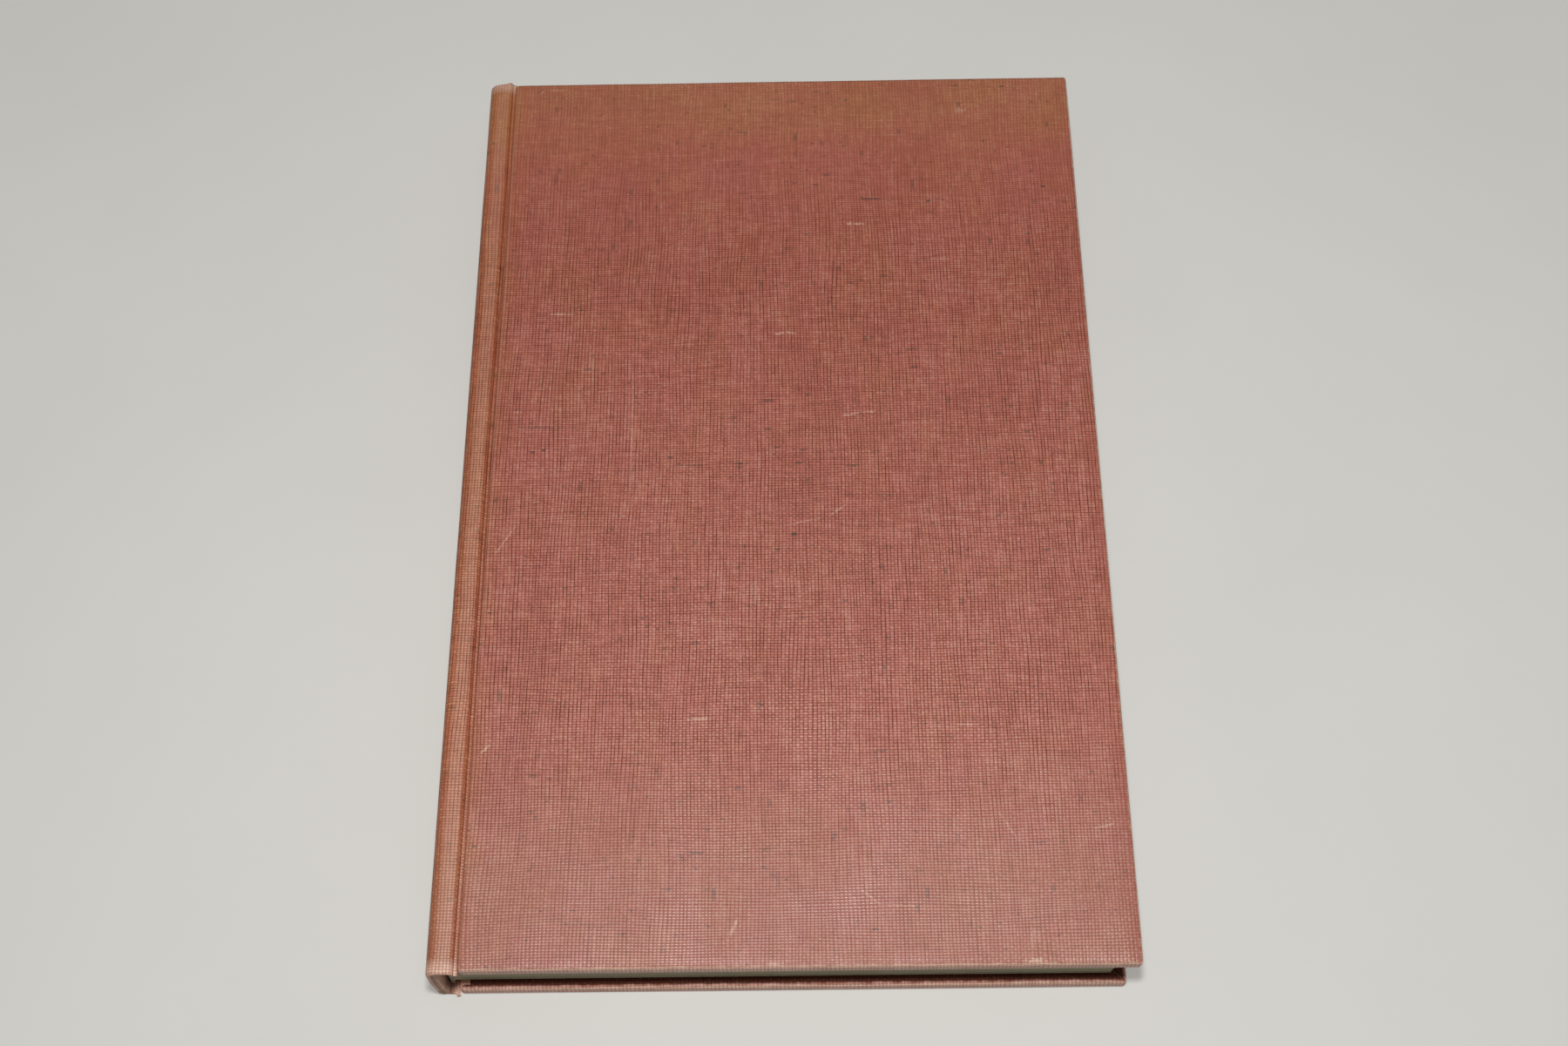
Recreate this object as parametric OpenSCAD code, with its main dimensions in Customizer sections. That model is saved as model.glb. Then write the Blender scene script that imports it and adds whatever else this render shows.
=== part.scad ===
// A cloth-covered hardback book that lies on its back cover, spine towards -X and head towards +Y.
// The case is built as a binder builds it: boards and a card inlay inside one cloth with turn-ins,
// a groove along each joint, and a hollow between the spine and the lined back of the pages.

/* [Pages] */
// Height of the trimmed pages, tail to head
page_h = 203; // [150:1:300]
// Width of the pages, spine to fore-edge
page_w = 126; // [90:1:220]
// Thickness of the sewn and pressed pages
pages_t = 8.9; // [5:0.1:40]
// How far the front cover and the fore-edge have slid past the back cover
lean = 1.4; // [0:0.1:1.6]
// Width of the front shoulder, the lip of the pages beside the front board
shoulder_w = 2.3; // [2.1:0.1:4]

/* [Boards] */
// Thickness of the bare boards
board_t = 2.4; // [1.6:0.1:4]
// Radius on the edges of the bare boards
board_r = 0.35; // [0.1:0.05:0.6]
// Overhang of the covers past the pages at head and tail
square_ends = 2; // [1.5:0.25:6]
// Overhang of the covers past the pages at the fore-edge
square_fore = 3; // [1.5:0.25:8]

/* [Cloth] */
// Thickness of the cover cloth
cloth_t = 0.45; // [0.3:0.05:0.5]
// Width of the cloth turned in over the edges
turn_in = 16; // [10:1:25]
// Width of the slit where two turn-ins meet at a corner
mitre_gap = 0.3; // [0.2:0.05:0.8]

/* [Joint and spine] */
// Width of the groove between a shoulder and its board
groove_w = 0.6; // [0.5:0.05:2]
// Depth of the groove below the face of the cover
groove_d = 1.5; // [1.3:0.1:2]
// Radius of the cloth where it dips into a groove
crest_r = 1.2; // [1.1:0.1:1.5]
// Drop of the spine's crest below the face of the cover
crest_drop = 0.15; // [0.05:0.05:0.4]
// Radius of the cloth round the long edges of the spine
spine_r = 1.9; // [1.1:0.1:2.2]
// Bulge of the back of the spine
spine_rise = 0.3; // [0.15:0.05:0.8]
// How far the spine stands past the boards at head and tail
spine_over = 0.6; // [0:0.1:1]
// Thickness of the card inlay in the spine
inlay_t = 1; // [0.6:0.1:1.6]
// Play in the hollow of the spine, and between the cloth in a groove and the cover that turns there
play = 0.3; // [0.2:0.05:0.45]
// Film of glue between curved layers
glue = 0.05; // [0.02:0.01:0.1]

/* [Linings and endpapers] */
// Thickness of the endpaper leaves
paper_t = 0.2; // [0.1:0.05:0.3]
// Thickness of the gauze on the back of the pages
mull_t = 0.25; // [0.15:0.05:0.4]
// Thickness of the brown paper over the gauze
lining_t = 0.2; // [0.1:0.05:0.4]
// Bare length of the pages' back at head and tail, past the gauze
mull_end = 14; // [8:1:25]
// Bare length of the pages' back at head and tail, past the brown paper
lining_end = 6; // [2:1:8]

/* [Hidden] */
$fn = 48;

// Overshoot of the cutting shapes
cut = 1;

// Levels of the closed book, from the table up: one cover, then the pages between two flyleaves
cover_t = 2 * cloth_t + board_t;
flyleaf_z = cover_t + paper_t;
pages_z = flyleaf_z + paper_t;
thick = 2 * pages_z + pages_t;
mid_z = thick / 2;

// Depths of the layers of the spine, from the face of its cloth inwards
inlay_in = cloth_t + glue;
inlay_out = inlay_in + inlay_t;
turn_in_out = inlay_out + cloth_t;
lining_in = turn_in_out + play;
mull_in = lining_in + lining_t + glue;
pages_in = mull_in + mull_t + glue;

// Places across the book, measured from the outermost line of the spine
crest_right = pages_in + shoulder_w + cloth_t;
cover_left = crest_right + groove_w;
fore_front = pages_in + page_w + lean / 2;
cover_right = fore_front + square_fore;
cover_w = cover_right - cover_left;
spine_x = -cover_right / 2;

// Lengths along the book
cover_h = page_h + 2 * square_ends;
spine_h = cover_h + 2 * spine_over;
edge_r = board_r + cloth_t;

// Recess inside a cover, between its turn-ins, and the slit from its corner to the cover's corner
recess_w = cover_w - turn_in;
recess_h = cover_h - 2 * turn_in;
mitre_l = (turn_in - 2 * edge_r) * sqrt(2);

// Radius of the back of the spine, whose chord runs from crest to crest
crest_z = thick - crest_drop;
spine_radius = (pow(crest_z - mid_z, 2) + pow(spine_rise, 2)) / (2 * spine_rise);
corner_z = crest_z - spine_r;
corner_x = spine_radius - sqrt(pow(spine_radius, 2) - pow(corner_z - mid_z, 2)) + spine_r;
spine_facets = 720;

cloth_colour = "#b06a5c";
board_colour = "#9a8a6e";
paper_colour = "#d8cfb4";
gauze_colour = "#cfc6b2";
kraft_colour = "#8f6f4a";

// Extrudes an x-z outline along the book, centred on its length
module along(length) {
    rotate([90, 0, 0])
        linear_extrude(length, center = true)
            children();
}

// Places an outline that is measured from the outermost line of the spine
module from_spine() {
    translate([spine_x, 0])
        children();
}

// Mirrors a piece of the front cover to the back of the book, which has slid by the lean
module at_back() {
    translate([-lean, 0, thick])
        mirror([0, 0, 1])
            children();
}

// Box with all its edges along x and y rounded
module soft_slab(low, high, radius) {
    intersection() {
        along(high[1] - low[1])
            soft_rect([low[0], low[2]], [high[0], high[2]], radius);
        translate([low[0], 0, 0])
            rotate([90, 0, 90])
                linear_extrude(high[0] - low[0])
                    soft_rect([low[1], low[2]], [high[1], high[2]], radius);
    }
}

// Rectangle with round corners
module soft_rect(low, high, radius) {
    translate([low[0] + radius, low[1]])
        square([high[0] - low[0] - 2 * radius, high[1] - low[1]]);
    translate([low[0], low[1] + radius])
        square([high[0] - low[0], high[1] - low[1] - 2 * radius]);
    for (x = [low[0] + radius, high[0] - radius], y = [low[1] + radius, high[1] - radius])
        translate([x, y])
            circle(radius);
}

// Disc whose left edge is the back of the spine, a depth under the cloth's face
module spine_disc(depth) {
    translate([spine_radius, mid_z])
        circle(spine_radius - depth, $fn = spine_facets);
}

// Upper half of the spine's section, a depth under the cloth's face
module half_section(depth, right) {
    translate([corner_x, mid_z])
        square([right - crest_r - corner_x, crest_z - depth - mid_z]);
    translate([corner_x, mid_z])
        square([right - depth - corner_x, crest_z - crest_r - mid_z]);
    translate([right - crest_r, crest_z - crest_r])
        circle(crest_r - depth);
    translate([corner_x, corner_z])
        circle(spine_r - depth);
    translate([0, mid_z])
        square([corner_x, corner_z - mid_z]);
}

// Whole section of the spine, a depth under the cloth's face, from the front groove to the back one
module spine_section(depth) {
    intersection() {
        spine_disc(depth);
        union() {
            half_section(depth, crest_right);
            translate([0, thick])
                mirror([0, 1])
                    half_section(depth, crest_right - lean);
        }
    }
}

// Opening between the two groove floors, where the spine's cloth ends and the pages pass through
module groove_opening() {
    translate([corner_x, groove_d])
        square([crest_right, thick - 2 * groove_d]);
}

// Layer of the spine's section between two depths under the cloth's face
module spine_layer(depth, deeper) {
    difference() {
        spine_section(depth);
        spine_disc(deeper);
    }
}

// Ring along the back of the spine, between two depths under the cloth's face
module spine_ring(depth, deeper) {
    difference() {
        spine_disc(depth);
        spine_disc(deeper);
    }
}

// Strip on the flat of the pages' back, between two depths under the cloth's face
module back_strip(depth, deeper) {
    intersection() {
        spine_ring(depth, deeper);
        translate([0, thick - corner_z])
            square([corner_x + pages_in, 2 * corner_z - thick]);
    }
}

// Cloth on the floor of the front groove, up to the play beside the cover
module groove_floor() {
    translate([crest_right - cloth_t, thick - groove_d])
        square([cloth_t + groove_w - play, cloth_t]);
}

// Fold of cloth along the crest of the spine, between two depths under the cloth's face
module crest_fold(depth, deeper) {
    difference() {
        spine_section(depth);
        spine_section(deeper);
        groove_opening();
    }
}

module board() {
    color(board_colour)
        soft_slab([spine_x + cover_left + cloth_t, -cover_h / 2 + cloth_t, thick - cloth_t - board_t],
                  [spine_x + cover_right - cloth_t, cover_h / 2 - cloth_t, thick - cloth_t], board_r);
}

// Cloth round one board: its face, its edges and three turn-ins.
// Along the joint it has no turn-in, and ends above the round of the board's inner edge.
module cover_cloth() {
    color(cloth_colour)
        difference() {
            soft_slab([spine_x + cover_left, -cover_h / 2, thick - cover_t],
                      [spine_x + cover_right, cover_h / 2, thick], edge_r);
            board();
            translate([spine_x + cover_left - cut, -recess_h / 2, thick - cover_t - cut])
                cube([recess_w + cut, recess_h, cloth_t + cut]);
            translate([spine_x + cover_left - cut, -recess_h / 2, thick - cover_t - cut])
                cube([edge_r + cut, recess_h, cloth_t + edge_r + cut]);
            for (end = [-1, 1])
                translate([spine_x + cover_right - turn_in, end * recess_h / 2, thick - cover_t - cut])
                    rotate([0, 0, end * 45])
                        translate([-cut, -mitre_gap / 2, 0])
                            cube([mitre_l + cut, mitre_gap, cloth_t + cut]);
        }
}

// Endpaper leaf glued inside a cover: it lies on the turn-ins and fills the recess between them
module pastedown() {
    color(paper_colour) {
        translate([spine_x + cover_left, -page_h / 2, thick - flyleaf_z])
            cube([fore_front - cover_left, page_h, paper_t]);
        translate([spine_x + cover_left, -recess_h / 2, thick - flyleaf_z])
            cube([recess_w, recess_h, paper_t + cloth_t]);
    }
}

// Free endpaper leaf that lies on the pages
module flyleaf() {
    leaf_left = crest_right - cloth_t;
    color(paper_colour)
        translate([spine_x + leaf_left, -page_h / 2, thick - pages_z])
            cube([fore_front - leaf_left, page_h, paper_t]);
}

module front_board() {
    board();
}

module back_board() {
    at_back()
        board();
}

module front_cloth() {
    cover_cloth();
}

module back_cloth() {
    at_back()
        cover_cloth();
}

module front_pastedown() {
    pastedown();
}

module back_pastedown() {
    at_back()
        pastedown();
}

module front_flyleaf() {
    flyleaf();
}

module back_flyleaf() {
    at_back()
        flyleaf();
}

// Card strip inside the cloth of the spine, as tall as the space between the crests
module spine_inlay() {
    color(board_colour)
        along(spine_h - 2 * inlay_in)
            from_spine()
                spine_layer(inlay_in, inlay_out);
}

// Cloth over the spine, from groove to groove, folded over the inlay at head and tail
module spine_cloth() {
    fold_h = square_ends + spine_over - play;
    color(cloth_colour) {
        along(spine_h)
            from_spine()
                crest_fold(0, cloth_t);
        along(cover_h)
            from_spine() {
                groove_floor();
                translate([-lean, thick])
                    mirror([0, 1])
                        groove_floor();
            }
        for (end = [-1, 1]) {
            translate([0, end * (spine_h - cloth_t) / 2, 0])
                along(cloth_t)
                    from_spine()
                        spine_layer(0, turn_in_out);
            translate([0, end * (spine_h - turn_in) / 2, 0])
                along(turn_in)
                    from_spine()
                        intersection() {
                            spine_section(cloth_t);
                            spine_ring(inlay_out, turn_in_out);
                        }
            translate([0, end * (spine_h - fold_h) / 2, 0])
                along(fold_h)
                    from_spine()
                        intersection() {
                            crest_fold(0, 2 * cloth_t);
                            spine_disc(inlay_out);
                        }
        }
    }
}

// Pages: a slab whose fore-edge leans, with a shoulder along each edge of its back
module text_block() {
    color(paper_colour)
        along(page_h)
            from_spine() {
                intersection() {
                    spine_section(inlay_in);
                    spine_disc(pages_in);
                }
                polygon([[pages_in + shoulder_w - lean - glue, pages_z],
                         [fore_front - lean, pages_z],
                         [fore_front, thick - pages_z],
                         [pages_in + shoulder_w - lean - glue, thick - pages_z]]);
            }
}

module mull() {
    color(gauze_colour)
        along(page_h - 2 * mull_end)
            from_spine()
                back_strip(mull_in, mull_in + mull_t);
}

module spine_lining() {
    color(kraft_colour)
        along(page_h - 2 * lining_end)
            from_spine()
                back_strip(lining_in, lining_in + lining_t);
}

front_board();
back_board();
spine_inlay();
front_cloth();
spine_cloth();
back_cloth();
front_pastedown();
back_pastedown();
front_flyleaf();
back_flyleaf();
text_block();
mull();
spine_lining();
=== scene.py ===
"""A worn hardback book in salmon-red cloth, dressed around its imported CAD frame.

Lengths are in millimetres until they reach Blender, which works in metres. The frame's +X runs from the
spine to the fore-edge, +Y from tail to head, and +Z up through the front cover.
"""

import logging
import math
import random
from collections.abc import Callable
from dataclasses import dataclass
from enum import Enum
from typing import NamedTuple

import bmesh
import bpy
import numpy as np
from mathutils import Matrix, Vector


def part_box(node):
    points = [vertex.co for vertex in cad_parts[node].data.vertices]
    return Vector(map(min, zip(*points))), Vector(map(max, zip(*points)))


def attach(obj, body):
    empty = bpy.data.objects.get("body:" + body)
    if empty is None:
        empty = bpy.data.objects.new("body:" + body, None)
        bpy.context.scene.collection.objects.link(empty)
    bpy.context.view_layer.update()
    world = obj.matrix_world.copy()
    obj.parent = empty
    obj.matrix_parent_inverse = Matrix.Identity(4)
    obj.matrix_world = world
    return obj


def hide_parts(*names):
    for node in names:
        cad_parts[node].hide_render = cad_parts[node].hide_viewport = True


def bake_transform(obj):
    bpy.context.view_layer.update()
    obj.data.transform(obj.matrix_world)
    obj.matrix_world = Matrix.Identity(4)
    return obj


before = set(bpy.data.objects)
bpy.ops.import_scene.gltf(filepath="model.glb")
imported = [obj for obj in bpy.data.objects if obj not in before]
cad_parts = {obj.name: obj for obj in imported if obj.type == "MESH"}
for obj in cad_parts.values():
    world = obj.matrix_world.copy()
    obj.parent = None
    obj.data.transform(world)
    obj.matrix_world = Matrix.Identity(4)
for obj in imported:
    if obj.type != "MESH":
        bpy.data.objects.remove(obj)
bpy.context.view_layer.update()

MM = 0.001
ROOT = "pages_and_spine"
THREADS = "threads"
LOG = logging.getLogger("book")

Triple = tuple[float, float, float]
Pair = tuple[float, float]
# Two places, and the values there
Ramp = tuple[float, float, float, float]
Tree = bpy.types.NodeTree
Socket = bpy.types.NodeSocket
Piece = bpy.types.Object

# Points as close as this, in millimetres, are in one place
NEAR = 0.01
# A face looks along an axis if its normal has this share along it
FACING = 0.9
# Starch, paper, cotton and paint bend light about alike
PLAIN_IOR = 1.5
# Settings that many nodes share: a soft step, a blend of two colours, and a tint laid over a colour
SOFT = {"interpolation_type": "SMOOTHSTEP"}
BLEND = {"data_type": "RGBA"}
TINT = {"data_type": "RGBA", "blend_type": "MULTIPLY"}


class Side(Enum):
    """The two covers of the book, named as in the CAD nodes."""

    FRONT = "front"
    BACK = "back"

    @property
    def up(self) -> int:
        """Returns the direction along z in which this cover's outer face looks."""
        return 1 if self is Side.FRONT else -1

    @property
    def body(self) -> str:
        """Returns the name of the CAD body that this cover moves with."""
        return f"{self.value}_cover"


@dataclass(frozen=True)
class Section:
    """Sizes of the book's section that several pieces share, as in the CAD source."""

    thick: float = 16.3
    cover_t: float = 3.3
    cloth_t: float = 0.45
    lean: float = 1.4
    edge_r: float = 0.8
    fore_x: float = 66.25
    cover_x: float = -60.1
    cover_y: float = 103.5
    spine_y: float = 104.1
    spine_x: float = -66.25
    crest_z: float = 16.15
    crest_r: float = 1.2
    corner_r: float = 1.9
    corner_x: float = -64.176
    back_r: float = 106.8167
    floor_z: float = 15.25
    groove: float = 0.6

    @property
    def mid_z(self) -> float:
        """Returns the level of the middle of the closed book."""
        return self.thick / 2

    @property
    def crest_x(self) -> float:
        """Returns the middle of the round where the cloth dips into the front groove."""
        return self.cover_x - self.groove - self.crest_r

    @property
    def crest_turn(self) -> float:
        """Returns the angle in degrees from the top of the crest down to the groove's floor."""
        return 90 - math.degrees(math.asin((self.floor_z - self.crest_z + self.crest_r) / self.crest_r))

    @property
    def back_half_turn(self) -> float:
        """Returns half of the angle in degrees that the round back of the spine spans."""
        rise = self.crest_z - self.corner_r - self.mid_z
        return math.degrees(math.asin(rise / (self.back_r - self.corner_r)))

    def level(self, side: Side, depth: float) -> float:
        """Returns the level of a point that lies a depth under the outer face of one cover."""
        return self.thick - depth if side is Side.FRONT else depth

    def shift(self, side: Side) -> float:
        """Returns how far one cover has slid along x against the front cover."""
        return 0.0 if side is Side.FRONT else -self.lean


BOOK = Section()


class Parts(Enum):
    """What a selection is made of."""

    EDGES = "edges"
    FACES = "faces"


class Bench:
    """One piece on the bench: a mesh in edit mode, and the operators that shape it."""

    merged: float = 0.002

    def __init__(self, name: str, low: Triple, high: Triple) -> None:
        """Starts a piece from a cube, or from a plane where both corners share a level.

        Args:
            name: Name of the piece.
            low: Lowest corner in millimetres.
            high: Highest corner in millimetres.
        """
        bpy.ops.object.select_all(action="DESELECT")
        flat = high[2] == low[2]
        if flat:
            bpy.ops.mesh.primitive_plane_add(size=1)
        else:
            bpy.ops.mesh.primitive_cube_add(size=1)
        self.piece: Piece = bpy.context.object
        self.piece.name = self.piece.data.name = name
        bpy.ops.object.mode_set(mode="EDIT")
        size = [(b - a) * MM for a, b in zip(low, high)]
        bpy.ops.transform.resize(value=(size[0], size[1], 1 if flat else size[2]), center_override=(0, 0, 0))
        bpy.ops.transform.translate(value=[(a + b) / 2 * MM for a, b in zip(low, high)])

    def _pick(self, parts: Parts, test: Callable[[object], bool]) -> "Bench":
        """Selects the edges or the faces that pass a test, and nothing else.

        Args:
            parts: What is selected.
            test: Takes one edge or face.

        Returns:
            This bench.
        """
        bpy.context.tool_settings.mesh_select_mode = (False, parts is Parts.EDGES, parts is Parts.FACES)
        bpy.ops.mesh.select_all(action="DESELECT")
        mesh = bmesh.from_edit_mesh(self.piece.data)
        if parts is Parts.FACES:
            mesh.normal_update()
        for part in getattr(mesh, parts.value):
            part.select_set(bool(test(part)))
        bmesh.update_edit_mesh(self.piece.data)
        return self

    def pick_faces(self, test: Callable[[Vector, Vector], bool]) -> "Bench":
        """Selects the faces whose middle in millimetres and normal pass a test."""
        return self._pick(Parts.FACES, lambda face: test(face.calc_center_median() / MM, face.normal))

    def pick_edges(self, test: Callable[[Vector, Vector], bool]) -> "Bench":
        """Selects the edges whose two ends in millimetres pass a test."""
        return self._pick(Parts.EDGES, lambda edge: test(*(end.co / MM for end in edge.verts)))

    def pick_rim(self, test: Callable[[Vector], bool]) -> "Bench":
        """Selects the open edges of a sheet whose two ends in millimetres both pass a test."""
        return self._pick(Parts.EDGES, lambda edge: edge.is_boundary
                          and all(test(end.co / MM) for end in edge.verts))

    def cut(self, point: Triple, normal: Triple) -> "Bench":
        """Cuts the selection along a plane through a point in millimetres."""
        bpy.ops.mesh.bisect(plane_co=[c * MM for c in point], plane_no=normal)
        return self

    def slice_all(self, axis: int, places: np.ndarray) -> "Bench":
        """Cuts the whole piece across one axis at each place in millimetres."""
        normal = tuple(float(i == axis) for i in range(3))
        for place in places:
            bpy.ops.mesh.select_all(action="SELECT")
            self.cut(tuple(place * n for n in normal), normal)
        return self

    def remove(self) -> "Bench":
        """Deletes the selected faces."""
        bpy.ops.mesh.delete(type="FACE")
        return self

    def extrude(self, move: Triple) -> "Bench":
        """Extrudes the selection and moves the new end by millimetres."""
        bpy.ops.mesh.extrude_region_move(TRANSFORM_OT_translate={"value": [c * MM for c in move]})
        return self

    def move(self, by: Triple) -> "Bench":
        """Moves the selection by millimetres."""
        bpy.ops.transform.translate(value=[c * MM for c in by])
        return self

    def resize(self, factors: Triple, centre: Triple) -> "Bench":
        """Scales the selection about a centre in millimetres."""
        bpy.ops.transform.resize(value=factors, center_override=[c * MM for c in centre])
        return self

    def spin(self, centre: Pair, degrees: float, steps: int) -> "Bench":
        """Sweeps the selected edges about a line along y.

        Args:
            centre: Place of the line in x and z, in millimetres.
            degrees: Angle of the sweep, from x towards z.
            steps: Number of steps.

        Returns:
            This bench.
        """
        bpy.ops.mesh.spin(steps=steps, angle=math.radians(degrees), axis=(0, 1, 0),
                          center=(centre[0] * MM, 0, centre[1] * MM))
        return self

    def turn(self, degrees: float, axis: str, centre: Triple) -> "Bench":
        """Turns the selection about a line along an axis, through a centre in millimetres."""
        bpy.ops.transform.rotate(value=math.radians(degrees), orient_axis=axis,
                                 center_override=[c * MM for c in centre])
        return self

    def bevel(self, width: float, segments: int) -> "Bench":
        """Rounds the selected edges to a width in millimetres."""
        bpy.ops.mesh.bevel(offset=width * MM, segments=segments, profile=0.5, affect="EDGES")
        return self

    def face_out(self, test: Callable[[Vector, Vector], bool]) -> "Bench":
        """Merges doubles and turns all normals outwards, judged by faces that have to pass a test.

        Args:
            test: Takes the middle and the normal of a face, and is true for faces known to look outwards.

        Returns:
            This bench.
        """
        bpy.ops.mesh.select_all(action="SELECT")
        bpy.ops.mesh.remove_doubles(threshold=self.merged * MM)
        bpy.ops.mesh.normals_make_consistent(inside=False)
        mesh = bmesh.from_edit_mesh(self.piece.data)
        mesh.normal_update()
        if not any(test(face.calc_center_median() / MM, face.normal) for face in mesh.faces):
            bpy.ops.mesh.flip_normals()
        return self

    def apply(self, kind: str, **settings: object) -> "Bench":
        """Leaves edit mode, adds a modifier with its settings and applies it."""
        bpy.ops.object.mode_set(mode="OBJECT")
        modifier = self.piece.modifiers.new(kind.title(), kind)
        for name, value in settings.items():
            setattr(modifier, name, value)
        bpy.ops.object.modifier_apply(modifier=modifier.name)
        return self

    def ruffle(self, height: float, size: float) -> "Bench":
        """Lifts the surface a little in soft clouds, as handled cloth and paper are never quite flat.

        Args:
            height: Height of the clouds in millimetres.
            size: Width of the clouds in millimetres.

        Returns:
            This bench.
        """
        clouds = bpy.data.textures.new(f"{self.piece.name}_clouds", "CLOUDS")
        clouds.noise_scale = size * MM
        return self.apply("DISPLACE", texture=clouds, strength=height * MM, mid_level=0.5,
                          texture_coords="LOCAL")

    def finish(self, angle: float = 35) -> Piece:
        """Leaves edit mode and smooths the faces that meet under an angle in degrees."""
        bpy.ops.object.mode_set(mode="OBJECT")
        bpy.ops.object.shade_smooth_by_angle(angle=math.radians(angle))
        return self.piece


class Unfold:
    """The cover cloth as the flat sheet it was cut from.

    Across the sheet, u equals x on the front cover, runs down through values below it round the spine, and
    mirrors about the middle of the spine on the back cover. Along it, v equals y until the cloth turns
    over a head or tail edge.
    """

    arc_points: int = 25
    folded_in: float = 0.6

    def __init__(self) -> None:
        """Walks along the section of the cloth from the front groove to the back one."""
        book = BOOK
        floor = book.cover_x, book.floor_z
        walk = [floor]
        self._arc(walk, (book.crest_x, book.crest_z - book.crest_r), book.crest_r, 90 - book.crest_turn, 90)
        half = book.back_half_turn
        self._arc(walk, (book.corner_x, book.crest_z - book.corner_r), book.corner_r, 90, 180 - half)
        self._arc(walk, (book.spine_x + book.back_r, book.mid_z), book.back_r, 180 - half, 180)
        front = np.array(walk)
        back = front[-2::-1] * (1, -1) + (0, book.thick)
        flat = back[:, 0] > book.corner_x + NEAR
        back[flat, 0] -= book.lean
        self.points = np.vstack((front, back))
        step = np.hypot(*np.diff(front, axis=0).T)
        start = book.cover_x + book.edge_r * (1 - math.pi / 2) - (book.thick - book.edge_r - book.floor_z)
        down = start - np.concatenate(([0], np.cumsum(step)))
        self.middle = float(down[-1])
        self.u = np.concatenate((down, 2 * self.middle - down[-2::-1]))

    def _arc(self, walk: list[Pair], centre: Pair, radius: float, start: float, end: float) -> None:
        """Adds the points of an arc to a walk, with its angles in degrees from x towards z."""
        for angle in np.radians(np.linspace(start, end, self.arc_points)):
            walk.append((centre[0] + radius * math.cos(angle), centre[1] + radius * math.sin(angle)))

    def on_spine(self, place: Vector) -> Pair:
        """Finds a point of the spine's or joint's cloth on the flat sheet.

        Args:
            place: The point in millimetres.

        Returns:
            Its u and v in millimetres.
        """
        here = np.array((place.x, place.z))
        a, b = self.points[:-1], self.points[1:]
        run = b - a
        t = np.clip(((here - a) * run).sum(1) / (run ** 2).sum(1), 0, 1)
        gaps = np.hypot(*(a + run * t[:, None] - here).T)
        best = int(gaps.argmin())
        u = self.u[best] + (self.u[best + 1] - self.u[best]) * t[best]
        end = math.copysign(BOOK.spine_y, place.y)
        depth = float(gaps[best])
        if depth < self.folded_in:
            return float(u), place.y
        turned = min(depth, BOOK.spine_y - abs(place.y) + depth)
        return float(u), end + math.copysign(turned, place.y)

    def on_cover(self, side: Side, middle: Vector, place: Vector) -> Pair:
        """Finds a point of a cover's cloth on the flat sheet.

        Args:
            side: Which cover.
            middle: Middle in millimetres of the point's face, which settles the edge it turns over.
            place: The point in millimetres.

        Returns:
            Its u and v in millimetres.
        """
        book = BOOK
        x, mid_x = place.x - book.shift(side), middle.x - book.shift(side)
        depth = book.thick - place.z if side is Side.FRONT else place.z
        to_fore, to_end, to_joint = book.fore_x - mid_x, book.cover_y - abs(middle.y), mid_x - book.cover_x
        nearest = min(to_fore, to_end, to_joint)
        u, v = x, place.y
        if nearest == to_fore:
            u = book.fore_x - book.edge_r + self._over_edge(book.fore_x - x, depth)
        elif nearest == to_end:
            v = math.copysign(book.cover_y - book.edge_r + self._over_edge(book.cover_y - abs(v), depth), v)
        else:
            u = book.cover_x + book.edge_r - self._over_edge(x - book.cover_x, depth)
        return (u if side is Side.FRONT else 2 * self.middle - u), v

    @staticmethod
    def _over_edge(inside: float, depth: float) -> float:
        """Measures along the cloth where it turns over the edge of a board.

        Args:
            inside: Distance of the point from the edge, inwards, in millimetres.
            depth: Depth of the point under the cover's outer face in millimetres.

        Returns:
            Length along the cloth past the start of the edge's round, below zero on the outer face.
        """
        radius, quarter = BOOK.edge_r, BOOK.edge_r * math.pi / 2
        straight = BOOK.cover_t - 2 * radius
        if inside >= radius:
            return radius - inside if depth < BOOK.cover_t / 2 else 2 * quarter + straight + inside - radius
        if depth < radius:
            return radius * math.atan2(radius - inside, radius - depth)
        if depth <= radius + straight:
            return quarter + depth - radius
        return quarter + straight + radius * math.atan2(depth - radius - straight, radius - inside)

    @staticmethod
    def lay(piece: Piece, find: Callable[[Vector, Vector], Pair]) -> None:
        """Writes the flat sheet's u and v in metres to a piece's thread map.

        Args:
            piece: The piece of cloth.
            find: Takes the middle of a face and one of its corners in millimetres, and gives u and v.
        """
        mesh = piece.data
        layer = mesh.uv_layers.get(THREADS) or mesh.uv_layers.new(name=THREADS)
        for face in mesh.polygons:
            for loop in face.loop_indices:
                corner = mesh.vertices[mesh.loops[loop].vertex_index].co / MM
                u, v = find(face.center / MM, corner)
                layer.data[loop].uv = (u * MM, v * MM)


def linear(code: str) -> tuple[float, float, float, float]:
    """Turns an sRGB hex colour into linear light.

    Args:
        code: Colour such as #b06a5c.

    Returns:
        Red, green, blue and alpha.
    """
    parts = (int(code[i:i + 2], 16) / 255 for i in (1, 3, 5))
    return *(c / 12.92 if c <= 0.04045 else ((c + 0.055) / 1.055) ** 2.4 for c in parts), 1.0


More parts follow.
